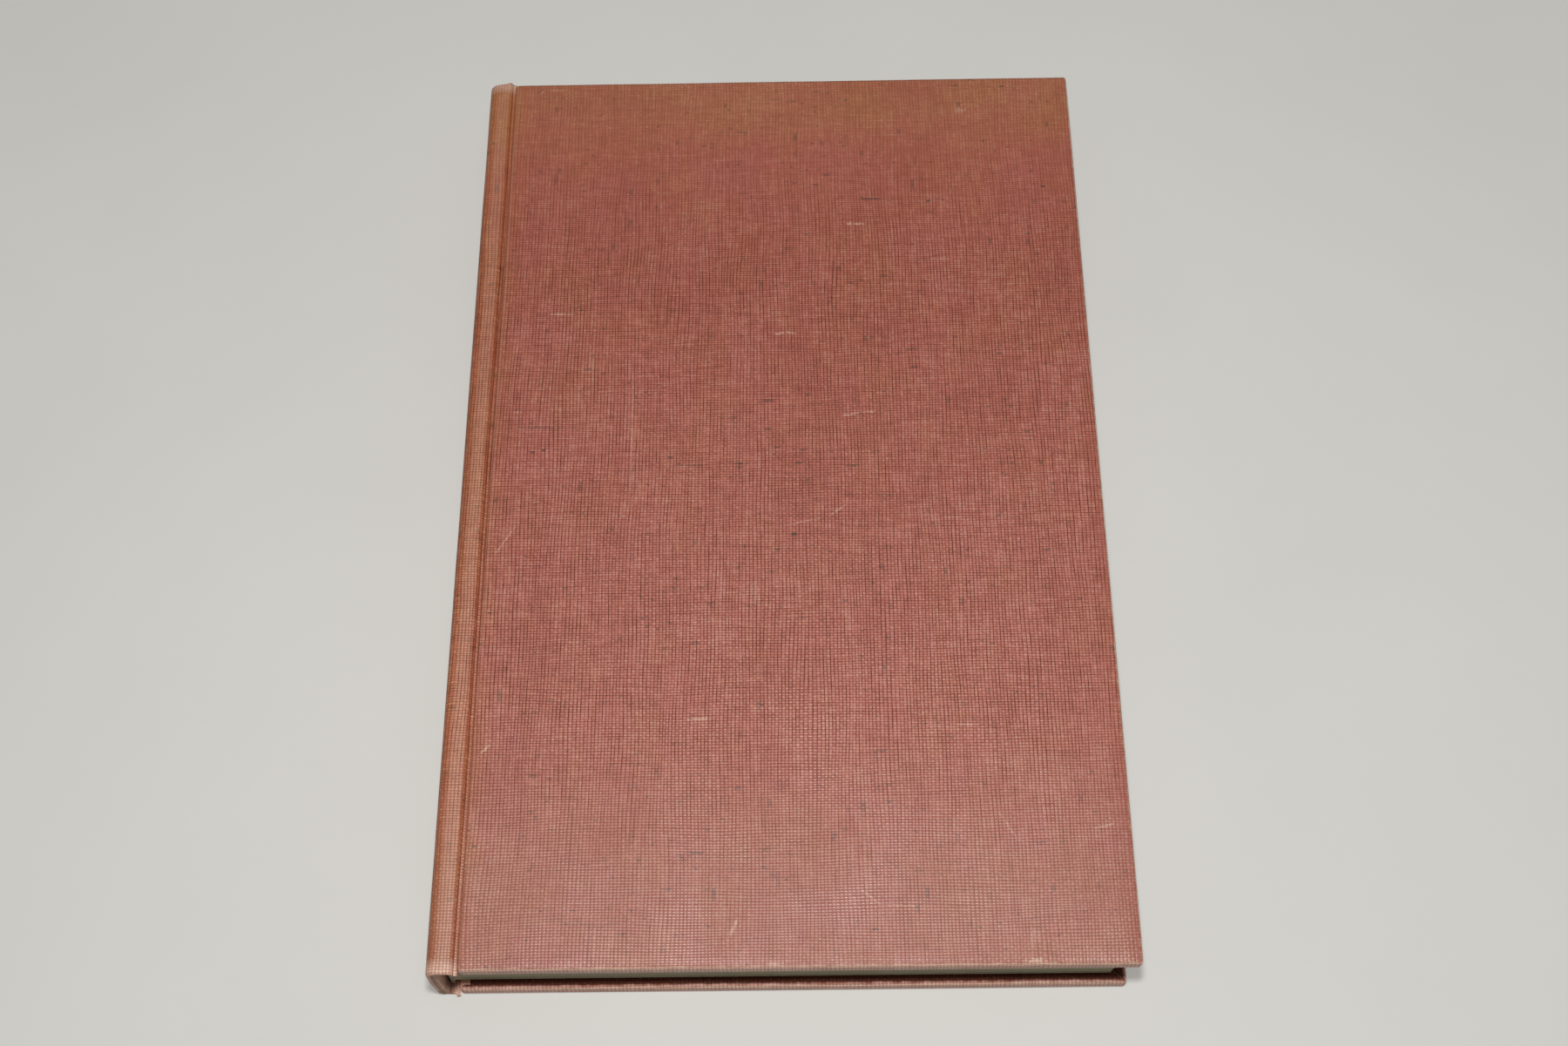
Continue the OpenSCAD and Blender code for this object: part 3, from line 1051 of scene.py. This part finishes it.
@dataclass(frozen=True)
class PageEdges(Finish):
    """Trimmed book paper on its cut edges: fine lines of leaves with dust in the gatherings, aged and darkened
    from cream to grey-tan, the darkening partly a painted shade.
    """

    name: str = "trimmed_page_edges"
    # Darker and greyer than the cream paper: partly age and dust, partly painted shade
    pale: str = "#aaa389"
    dark: str = "#857e66"
    dust_and_shade: str = "#6f6a55"
    leaf_mm: float = 0.22
    leaf_run: float = 60.0
    band_mm: float = 1.1
    band_run: float = 90.0
    stain_mm: float = 18.0
    roughness: float = 0.85
    leaf_tone: Pair = (0.36, 0.64)
    dusty_and_shaded: Ramp = (0.52, 0.72, 0.0, 0.55)
    aged: Ramp = (0.45, 0.75, 0.0, 0.35)

    def draw(self, tree: Tree) -> None:
        """Draws the lines of the leaves along the edges of the pages."""
        place = self.on_piece(tree)
        # Leaves are about 0.09 mm thick, too fine to show, so their lines are drawn coarser
        lines = (1 / self.leaf_run, 1 / self.leaf_run, 1 / self.leaf_mm)
        leaf = add(tree, "TexNoise", add(tree, "VectorMath", place, lines, operation="MULTIPLY"), 1.0, 2.0, 0.6)
        bands = (1 / self.band_run, 1 / self.band_run, 1 / self.band_mm)
        band = add(tree, "TexNoise", add(tree, "VectorMath", place, bands, operation="MULTIPLY"), 1.0, 1.0, 0.5)
        stain = add(tree, "TexNoise", place, 1 / self.stain_mm, 3.0, 0.55)
        tone = add(tree, "MapRange", leaf, *self.leaf_tone)
        colour = add(tree, "Mix", tone, linear(self.dark), linear(self.pale), **BLEND)
        dusty_and_shaded = add(tree, "MapRange", band, *self.dusty_and_shaded)
        colour = add(tree, "Mix", dusty_and_shaded, colour, linear(self.dust_and_shade), **BLEND)
        aged = add(tree, "MapRange", stain, *self.aged)
        colour = add(tree, "Mix", aged, colour, linear(self.dark), **BLEND)
        self.close(tree, colour, self.roughness, leaf, relief=0.08, strength=0.6)


@dataclass(frozen=True)
class Paper(Finish):
    """A sheet with short fibres, soft stains and edges that the air has browned."""

    name: str = "wove_endpaper"
    sheet: str = "#d9cfb2"
    fibre: str = "#c4b892"
    stain: str = "#b39a6b"
    fibre_mm: float = 0.5
    stain_mm: float = 26.0
    spot_mm: float = 3.1
    stained: float = 0.4
    roughness: float = 0.82
    flat_relief: float = 0.03
    ridge_relief: float = 0.12
    fibre_tone: Pair = (0.35, 0.65)
    blotted: Pair = (0.5, 0.8)
    foxed: Ramp = (0.74, 0.82, 0.0, 0.45)
    ridge: Ramp = (-0.6, 0.6, 0.0, 1.0)
    ridge_line: Ramp = (0.0, 1.6, 0.3, 0.0)
    ridge_fibre: float = 0.25
    turn_in_at: Pair | None = None

    def draw(self, tree: Tree) -> None:
        """Draws the fibres and stains, and the ridge of the turn-ins where a sheet is pasted over them."""
        place = self.on_piece(tree)
        fibre = add(tree, "TexNoise", place, 1 / self.fibre_mm, 3.0, 0.65, None, 1.2)
        blot = add(tree, "TexNoise", place, 1 / self.stain_mm, 4.0, 0.6)
        spots = add(tree, "TexNoise", place, 1 / self.spot_mm, 1.0, 0.5)
        tone = add(tree, "MapRange", fibre, *self.fibre_tone)
        colour = add(tree, "Mix", tone, linear(self.fibre), linear(self.sheet), **BLEND)
        blotted = add(tree, "MapRange", blot, *self.blotted, 0.0, self.stained)
        foxed = add(tree, "MapRange", spots, *self.foxed)
        for share in (blotted, foxed):
            colour = add(tree, "Mix", share, colour, linear(self.stain), **BLEND)
        height = fibre
        if self.turn_in_at:
            split = add(tree, "SeparateXYZ", place).node.outputs
            fore = add(tree, "Math", split[0], self.turn_in_at[0], operation="SUBTRACT")
            ends = add(tree, "Math", split[1], operation="ABSOLUTE")
            ends = add(tree, "Math", ends, self.turn_in_at[1], operation="SUBTRACT")
            past = add(tree, "Math", fore, ends, operation="MAXIMUM")
            ridge = add(tree, "MapRange", past, *self.ridge, **SOFT)
            height = add(tree, "Math", fibre, self.ridge_fibre, ridge, operation="MULTIPLY_ADD")
            line = add(tree, "MapRange", add(tree, "Math", past, operation="ABSOLUTE"), *self.ridge_line)
            colour = add(tree, "Mix", line, colour, linear(self.fibre), **BLEND)
        relief = self.ridge_relief if self.turn_in_at else self.flat_relief
        self.close(tree, colour, self.roughness, height, relief=relief, strength=0.8)


@dataclass(frozen=True)
class Gauze(Finish):
    """Starched open cotton gauze: a loose grid of pale threads over brown glue."""

    name: str = "starched_cotton_gauze"
    pitch: float = 1.1
    thread: str = "#cfc4a8"
    glue: str = "#7d6242"
    roughness: float = 0.9
    thread_edge: Ramp = (0.12, 0.26, 1.0, 0.0)

    def draw(self, tree: Tree) -> None:
        """Draws the grid of threads on the back of the pages."""
        place = self.on_piece(tree, self.pitch)
        waver = add(tree, "TexNoise", place, 0.2, 1.0)
        split = add(tree, "SeparateXYZ", place).node.outputs
        grid: object = 0.0
        for axis in (1, 2):
            wide = add(tree, "Math", split[axis], waver, operation="ADD")
            wide = add(tree, "Math", wide, 0.5, operation="PINGPONG")
            thread = add(tree, "MapRange", wide, *self.thread_edge, **SOFT)
            grid = add(tree, "Math", grid, thread, operation="MAXIMUM")
        colour = add(tree, "Mix", grid, linear(self.glue), linear(self.thread), **BLEND)
        self.close(tree, colour, self.roughness, grid, relief=0.15)


@dataclass(frozen=True)
class PaintedFloor(Finish):
    """A matt pale painted board under the book, lightened where it is seen straight or in a reflection."""

    name: str = "matt_pale_floor"
    paint: str = "#d6d4cf"
    shade: str = "#cfcdc8"
    roughness: float = 0.9
    thrown: float = 0.5
    lightened: float = 0.45

    def draw(self, tree: Tree) -> None:
        """Draws the faint unevenness of the paint, and its even paleness to the eye."""
        place = add(tree, "TexCoord").node.outputs["Object"]
        mottle = add(tree, "TexNoise", place, 14.0, 4.0, 0.6)
        colour = add(tree, "Mix", mottle, linear(self.paint), linear(self.shade), **BLEND)
        seen = seen_rays(tree)
        # It throws only part of its light back up at the book
        share = add(tree, "MapRange", seen, 0.0, 1.0, self.thrown, 1.0)
        shown = add(tree, "VectorMath", colour, None, None, share, operation="SCALE")
        shader = self.close(tree, shown, self.roughness, mottle, relief=0.05, strength=0.2)
        pale = add(tree, "MixShader", add(tree, "Math", seen, self.lightened, operation="MULTIPLY"), shader,
                   add(tree, "Emission", colour, 1.0))
        tree.links.new(pale, tree.nodes["Material Output"].inputs[0])


UNFOLD = Unfold()
CLOTH = BookCloth()
PAGES = PageEdges()
ENDPAPER = Paper()
KRAFT = Paper("kraft_paper", "#97754f", "#7e5f3c", "#6a4e30", fibre_mm=0.8, stained=0.3)
BOARD = Paper("grey_board", "#9c8c70", "#82745a", "#6c5f48", fibre_mm=0.9, stained=0.3)
CARD = Paper("spine_card", "#8f7b5c", "#786648", "#5f4f38", fibre_mm=0.7, stained=0.3)


@dataclass
class CoverCloth:
    """The cloth over one board: its face, its rounded edges, its turn-ins and the mitres at its corners."""

    side: Side
    turn_in: float = 16.0
    mitre_gap: float = 0.3
    mitre_end: float = 1.0
    joint_end: float = 2.05
    edge_steps: int = 4
    wave: Pair = (0.12, 26.0)
    first_slice: float = 2.0
    last_slice: float = 1.0
    slice_mm: float = 4.0

    def build(self) -> Piece:
        """Wraps the board in cloth and lays the thread map on it.

        Returns:
            The piece.
        """
        low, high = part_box(f"{self.side.value}_cloth")
        bench = Bench(f"{self.side.value}_cover_cloth", tuple(low / MM), tuple(high / MM))
        left, right, end = low.x / MM, high.x / MM, high.y / MM
        inside = (high.z if self.side is Side.BACK else low.z) / MM
        recess_x, recess_y = right - self.turn_in, end - self.turn_in
        up = self.side.up

        def inner(middle: Vector, normal: Vector) -> bool:
            """Tells whether a face lies on the inside of the cover."""
            return normal.z * up < -FACING

        for place in (recess_x, right - self.mitre_end):
            bench.pick_faces(inner).cut((place, 0, inside), (1, 0, 0))
        for place in (-end + self.mitre_end, -recess_y, recess_y, end - self.mitre_end):
            bench.pick_faces(inner).cut((0, place, inside), (0, 1, 0))
        half_gap = self.mitre_gap / math.sqrt(2)
        for head in (-1, 1):
            for gap in (-1, 1):
                bench.pick_faces(lambda m, n: inner(m, n) and m.x < right - self.mitre_end
                                 and m.y * head < end - self.mitre_end
                                 and (m.x > recess_x or m.y * head > recess_y))
                bench.cut((recess_x + gap * half_gap, head * recess_y, inside), (1, -head, 0))
        bench.pick_faces(lambda m, n: inner(m, n) and recess_x - half_gap < m.x < right - self.mitre_end
                         and recess_y - half_gap < abs(m.y) < end - self.mitre_end
                         and abs((m.x - recess_x) - (abs(m.y) - recess_y)) < half_gap).remove()
        bench.pick_faces(lambda m, n: inner(m, n) and m.x < recess_x and abs(m.y) < recess_y).remove()

        def joint(middle: Vector, normal: Vector) -> bool:
            """Tells whether a face lies along the joint."""
            return normal.x < -FACING

        bench.pick_faces(joint).cut((left, 0, BOOK.level(self.side, self.joint_end)), (0, 0, 1))
        for place in (-recess_y, recess_y):
            bench.pick_faces(joint).cut((left, place, 0), (0, 1, 0))
        bench.pick_faces(lambda m, n: joint(m, n) and abs(m.y) < recess_y
                         and abs(m.z - BOOK.level(self.side, 0)) > self.joint_end).remove()

        def on_box(a: Vector, b: Vector) -> bool:
            """Tells whether an edge lies on one of the box's own twelve edges."""
            faces = ((0, left), (0, right), (1, -end), (1, end), (2, low.z / MM), (2, high.z / MM))
            shared = sum(abs(a[i] - c) < NEAR / 10 and abs(b[i] - c) < NEAR / 10 for i, c in faces)
            return shared >= 2

        bench.pick_edges(on_box).bevel(BOOK.edge_r, self.edge_steps)
        bench.slice_all(0, np.arange(left + self.first_slice, right - self.last_slice, self.slice_mm))
        bench.slice_all(1, np.arange(-end + self.first_slice, end - self.last_slice, self.slice_mm))
        bench.ruffle(*self.wave)
        bench.apply("SOLIDIFY", thickness=BOOK.cloth_t * MM, offset=-1, use_even_offset=True)
        piece = bench.finish()
        UNFOLD.lay(piece, lambda middle, corner: UNFOLD.on_cover(self.side, middle, corner))
        return piece

    def dress(self, piece: Piece) -> Piece:
        """Gives the cloth its finish and its place on the cover's body."""
        CLOTH.dress(piece)
        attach(piece, self.side.body)
        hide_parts(f"{self.side.value}_cloth")
        return piece


@dataclass
class SpineCloth:
    """The cloth over the spine, from groove to groove, folded in over the card at head and tail."""

    fold_depth: float = 1.95
    crest_fold: float = 0.9
    fold_in: float = 2.3
    turn_in: float = 16.0
    tail_slope: float = -2.1
    head_slope: float = -9.0
    tail_sloped: float = 3.0
    head_sloped: float = 1.0
    fold_back: float = 0.3
    fold_step: float = 0.8
    inlay_reach: float = 0.3
    fold_r: float = 0.42
    fold_steps: int = 3
    crest_steps: int = 8
    corner_steps: int = 10
    back_steps: int = 14
    wave: Pair = (0.1, 17.0)
    first_slice: float = 4.0
    last_slice: float = 3.0
    slice_mm: float = 4.0

    @property
    def fold_x(self) -> float:
        """Returns the place in x that the folded ends shrink towards."""
        return BOOK.cover_x - self.fold_back

    def build(self) -> Piece:
        """Sweeps the cloth round the spine, folds its ends in and lays the thread map on it.

        Returns:
            The piece.
        """
        book = BOOK
        end = book.spine_y
        half = book.back_half_turn
        bench = Bench("spine_cover_cloth", (book.corner_x, -end, book.crest_z),
                      (book.crest_x, end, book.crest_z))

        def at(x: float, z: float) -> Callable[[Vector], bool]:
            """Returns a test for the ends of an edge that runs along y through a place in x and z."""
            return lambda p: abs(p.x - x) < NEAR and abs(p.z - z) < NEAR

        bench.pick_rim(at(book.crest_x, book.crest_z))
        bench.spin((book.crest_x, book.crest_z - book.crest_r), -book.crest_turn, self.crest_steps)
        bench.pick_rim(at(book.corner_x, book.crest_z))
        bench.spin((book.corner_x, book.crest_z - book.corner_r), 90 - half, self.corner_steps)
        bench.spin((book.spine_x + book.back_r, book.mid_z), 2 * half, self.back_steps)
        low_corner = book.thick - book.crest_z + book.corner_r
        bench.spin((book.corner_x, low_corner), 90 - half, self.corner_steps)
        bench.extrude((book.crest_x - book.lean - book.corner_x, 0, 0))
        low_crest = book.thick - book.crest_z + book.crest_r
        bench.spin((book.crest_x - book.lean, low_crest), book.crest_turn, self.crest_steps)

        shrink_x = 1 - self.fold_depth / (self.fold_x - book.spine_x)
        shrink_z = 1 - self.crest_fold / (book.crest_z - book.mid_z)
        for head in (-1, 1):
            bench.pick_rim(lambda p: abs(p.y - head * end) < NEAR and self._folds(p)).extrude((0, 0, 0))
            bench.resize((shrink_x, 1, shrink_z), (self.fold_x, head * end, book.mid_z))
            bench.extrude((0, -head * self.fold_in, 0))
            bench.pick_rim(lambda p: abs(p.y - head * (end - self.fold_in)) < NEAR
                           and p.x < book.corner_x + self.inlay_reach)
            bench.extrude((0, -head * (self.turn_in - self.fold_in), 0))
        bench.face_out(lambda m, n: m.z > book.crest_z - NEAR and n.z > FACING)
        bench.pick_edges(lambda a, b: abs(abs(a.y) - end) < NEAR and abs(abs(b.y) - end) < NEAR
                         and abs(a.y - b.y) < NEAR and (a - b).length > 0.0
                         and not self._across(a, b)).bevel(self.fold_r, self.fold_steps)
        bench.pick_edges(lambda a, b: max(a.y, b.y) < -end + self.tail_sloped)
        bench.turn(self.tail_slope, "X", (0, -end, book.crest_z))
        bench.pick_edges(lambda a, b: min(a.y, b.y) > end - self.head_sloped)
        bench.turn(self.head_slope, "Z", (book.crest_x, end, book.mid_z))
        bench.slice_all(1, np.arange(-end + self.first_slice, end - self.last_slice, self.slice_mm))
        bench.ruffle(*self.wave)
        bench.apply("SOLIDIFY", thickness=book.cloth_t * MM, offset=-1, use_even_offset=True)
        piece = bench.finish()
        UNFOLD.lay(piece, lambda middle, corner: UNFOLD.on_spine(corner))
        return piece

    @staticmethod
    def _folds(place: Vector) -> bool:
        """Tells whether a point of the cloth's end lies left of the rounds that dip into the grooves."""
        shift = 0 if place.z > BOOK.mid_z else -BOOK.lean
        return place.x < BOOK.crest_x + shift + NEAR

    def _across(self, a: Vector, b: Vector) -> bool:
        """Tells whether an edge of the folded end runs from its outer line to its inner one."""
        centre = Vector((self.fold_x, 0, BOOK.mid_z))
        ray_a, ray_b = a - centre, b - centre
        ray_a.y = ray_b.y = 0
        return abs(ray_a.length - ray_b.length) > self.fold_step

    def dress(self, piece: Piece) -> Piece:
        """Gives the cloth its finish and its place on the pages' body."""
        CLOTH.dress(piece)
        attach(piece, ROOT)
        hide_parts("spine_cloth")
        return piece


@dataclass
class JointCloth:
    """The cloth on the floor of one groove, which bends when the cover opens."""

    side: Side
    sag: float = 0.07
    past_cover: float = 0.6
    columns: int = 14
    first_slice: float = 4.0
    last_slice: float = 3.0
    slice_mm: float = 4.0

    @property
    def span(self) -> Pair:
        """Returns the places in x where the strip leaves the spine and reaches the cover."""
        book = BOOK
        reach = book.crest_x + book.crest_r * math.sin(math.radians(book.crest_turn))
        return reach + book.shift(self.side), book.cover_x + book.shift(self.side)

    def build(self) -> Piece:
        """Lays the strip in the groove.

        Returns:
            The piece.
        """
        book = BOOK
        (left, right), up = self.span, self.side.up
        level = book.level(self.side, book.thick - book.floor_z)
        end = book.cover_y + self.past_cover
        bench = Bench(f"{self.side.value}_joint_cloth", (left, -end, level), (right, end, level))
        columns = np.linspace(left, right, self.columns + 2)[1:-1]
        bench.slice_all(0, columns)
        for x in columns:
            dip = self.sag * math.sin(math.pi * (x - left) / (right - left)) ** 2
            bench.pick_edges(lambda a, b: abs(a.x - x) < NEAR / 2 and abs(b.x - x) < NEAR / 2)
            bench.move((0, 0, -up * dip))
        bench.slice_all(1, np.arange(-end + self.first_slice, end - self.last_slice, self.slice_mm))
        bench.face_out(lambda m, n: n.z * up > FACING)
        bench.apply("SOLIDIFY", thickness=book.cloth_t * MM, offset=-1)
        piece = bench.finish(angle=60)
        UNFOLD.lay(piece, lambda middle, corner: UNFOLD.on_spine(corner))
        return piece

    def dress(self, piece: Piece) -> Piece:
        """Gives the strip its finish and bakes its place into its mesh."""
        CLOTH.dress(piece)
        left, right = self.span
        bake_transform(piece)
        return piece


@dataclass
class GutterPaper:
    """The endpaper across the inside of one joint, from the free leaf to the leaf pasted on the cover."""

    side: Side
    columns: int = 22
    first_slice: float = 4.0
    last_slice: float = 3.0
    slice_mm: float = 8.0

    def build(self) -> Piece:
        """Lays the strip of paper between the two leaves.

        Returns:
            The piece.
        """
        low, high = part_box(f"{self.side.value}_pastedown")
        flyleaf, flyleaf_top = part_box(f"{self.side.value}_flyleaf")
        left, right, end, up = flyleaf.x / MM, low.x / MM, high.y / MM, self.side.up
        level = (low.z if self.side is Side.FRONT else high.z) / MM
        bench = Bench(f"{self.side.value}_gutter_paper", (left, -end, level), (right, end, level))
        bench.slice_all(0, np.linspace(left, right, self.columns + 2)[1:-1])
        bench.slice_all(1, np.arange(-end + self.first_slice, end - self.last_slice, self.slice_mm))
        bench.face_out(lambda m, n: n.z * up < -FACING)
        bench.apply("SOLIDIFY", thickness=flyleaf_top.z - flyleaf.z, offset=-1)
        return bench.finish(angle=60)

    def dress(self, piece: Piece) -> Piece:
        """Gives the strip its finish and bakes its place into its mesh."""
        ENDPAPER.dress(piece)
        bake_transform(piece)
        return piece


@dataclass
class PageBlock:
    """The sewn pages: leaning fore-edge, shoulders along the back, and leaves that don't line up quite."""

    leaf_mm: float = 0.3
    gathering: int = 3
    gathering_in: float = 1.8
    uneven: float = 0.06
    last_leaf: float = 0.1
    shoulder_from: float = 0.6
    shoulder_r: float = 0.55
    shoulder_steps: int = 4
    flyleaf_air: float = 0.05
    back_air: float = 0.15
    reach: float = 0.2
    seed: int = 11

    def build(self) -> Piece:
        """Models the block of pages with its shoulders and the uneven edges of its leaves.

        Returns:
            The piece.
        """
        low, high = (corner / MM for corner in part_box("text_block"))
        flyleaf = [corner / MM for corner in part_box("front_flyleaf")]
        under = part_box("back_flyleaf")[1].z / MM
        top, left, lean = flyleaf[0].z, flyleaf[0].x - self.flyleaf_air, BOOK.lean
        bench = Bench("page_block", (left, low.y, under), (high.x, high.y, top))
        bench.pick_edges(lambda a, b: min(a.x, b.x) > high.x - NEAR and max(a.z, b.z) < under + NEAR)
        bench.move((-lean, 0, 0))
        bench.pick_edges(lambda a, b: max(a.x, b.x) < left + NEAR and max(a.z, b.z) < under + NEAR)
        bench.move((-lean, 0, 0))
        tall = (high.z - low.z) / (top - under)
        bench.pick_faces(lambda m, n: n.x < -FACING).extrude((0, 0, 0))
        bench.resize((1, 1, tall), (left, 0, BOOK.mid_z))
        bench.extrude((low.x + self.back_air - left + lean / 2, 0, 0))
        bench.resize((0, 1, 1), (low.x + self.back_air, 0, BOOK.mid_z))
        bench.pick_edges(lambda a, b: abs(a.y - b.y) > 1 and min(abs(a.z - high.z), abs(a.z - low.z)) < NEAR
                         and min(abs(b.z - high.z), abs(b.z - low.z)) < NEAR
                         and a.x > low.x + self.shoulder_from)
        bench.bevel(self.shoulder_r, self.shoulder_steps)
        levels = np.arange(under + self.leaf_mm, top - self.last_leaf, self.leaf_mm)
        bench.slice_all(2, levels)
        draw = random.Random(self.seed)
        for row, z in enumerate(levels):
            extra = self.gathering_in if row % self.gathering == 0 else 1.0

            def level(p: Vector) -> bool:
                """Tells whether a point lies on this level of the leaves."""
                return abs(p.z - z) < NEAR

            for axis, place in ((0, 0.0), (1, low.y), (1, high.y)):
                step = [0.0, 0.0, 0.0]
                step[axis] = -extra * abs(draw.gauss(0, self.uneven)) * (1 if place >= 0 else -1)
                fore = high.x - lean * (top - z) / (top - under)
                spot = fore if axis == 0 else place
                bench.pick_edges(lambda a, b: level(a) and level(b) and abs(a[axis] - spot) < self.reach
                                 and abs(b[axis] - spot) < self.reach).move(tuple(step))
        bench.face_out(lambda m, n: m.x > high.x - lean - self.leaf_mm and n.x > FACING)
        return bench.finish(angle=20)

    def dress(self, piece: Piece) -> Piece:
        """Gives the pages their finish and their place on the pages' body."""
        PAGES.dress(piece)
        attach(piece, ROOT)
        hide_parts("text_block")
        return piece


@dataclass
class Linings:
    """The CAD pieces that keep their own shape: boards, card, endpapers, gauze and brown paper."""

    pasted_at: Pair = (50.25, 87.5)

    def dress(self) -> list[Piece]:
        """Gives each of these nodes its finish.

        Returns:
            The nodes.
        """
        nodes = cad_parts
        finishes = {"front_board": BOARD, "back_board": BOARD, "spine_inlay": CARD, "front_flyleaf": ENDPAPER,
                    "back_flyleaf": ENDPAPER, "mull": Gauze(), "spine_lining": KRAFT}
        for side in Side:
            ridge = (self.pasted_at[0] + BOOK.shift(side), self.pasted_at[1])
            finishes[f"{side.value}_pastedown"] = Paper(f"{side.value}_pasted_endpaper", turn_in_at=ridge)
        return [finish.dress(nodes[name]) for name, finish in finishes.items()]


@dataclass
class Studio:
    """The plain pale floor, the soft light and the camera at the photograph's view."""

    eye: Triple = (5.73, -209.89, 393.83)
    turn: Triple = (27.73, 0.94, -0.37)
    lens: float = 48.0
    sensor: float = 36.0
    clip: float = 10.0
    key_at: Triple = (4.0, -143.0, 450.0)
    key_size: float = 48.0
    key_power: float = 1.68
    fill_at: Triple = (120.0, -160.0, 1000.0)
    fill_size: float = 600.0
    fill_power: float = 0.8
    air: str = "#f4f3f0"
    sky: float = 0.18
    backdrop: float = 0.3
    floor_half: float = 15000.0

    def build(self) -> None:
        """Sets up floor, lights, world and camera."""
        half = self.floor_half
        bench = Bench("floor", (-half, -half, 0), (half, half, 0))
        floor = bench.finish()
        PaintedFloor().dress(floor)
        self._lamp("key", self.key_at, self.key_size, self.key_power)
        self._lamp("fill", self.fill_at, self.fill_size, self.fill_power)
        scene = bpy.context.scene
        world = bpy.data.worlds.new("studio")
        world.use_nodes = True
        background = world.node_tree.nodes["Background"]
        background.inputs[0].default_value = linear(self.air)
        seen = seen_rays(world.node_tree)
        strength = add(world.node_tree, "MapRange", seen, 0.0, 1.0, self.sky, self.backdrop)
        world.node_tree.links.new(strength, background.inputs[1])
        scene.world = world
        scene.view_settings.view_transform = "Standard"
        lens = bpy.data.cameras.new("camera")
        lens.lens, lens.sensor_width = self.lens, self.sensor
        lens.clip_start = self.clip * MM
        camera = bpy.data.objects.new("camera", lens)
        camera.location = Vector(self.eye) * MM
        camera.rotation_euler = [math.radians(a) for a in self.turn]
        scene.collection.objects.link(camera)
        scene.camera = camera

    @staticmethod
    def _lamp(name: str, place: Triple, size: float, power: float) -> None:
        """Hangs a round soft lamp that looks at the middle of the book.

        Args:
            name: Name of the lamp.
            place: Place of the lamp in millimetres.
            size: Width of the lamp in millimetres.
            power: Power of the lamp in watts.
        """
        light = bpy.data.lights.new(name, "AREA")
        light.shape, light.size, light.energy = "DISK", size * MM, power
        lamp = bpy.data.objects.new(name, light)
        lamp.location = Vector(place) * MM
        lamp.rotation_euler = (-lamp.location).to_track_quat("-Z", "Y").to_euler()
        bpy.context.scene.collection.objects.link(lamp)


def main() -> None:
    """Builds the book's pieces in order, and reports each."""
    logging.basicConfig(level=logging.INFO, format="%(message)s")
    pieces = [PageBlock(), SpineCloth()]
    pieces += [kind(side) for side in Side for kind in (GutterPaper, JointCloth, CoverCloth)]
    for piece in pieces:
        made = piece.dress(piece.build())
        LOG.info("%s: %d faces", made.name, len(made.data.polygons))
    for node in Linings().dress():
        LOG.info("%s: CAD shape in %s", node.name, node.data.materials[0].name)
    Studio().build()


if __name__ == "__main__":
    main()
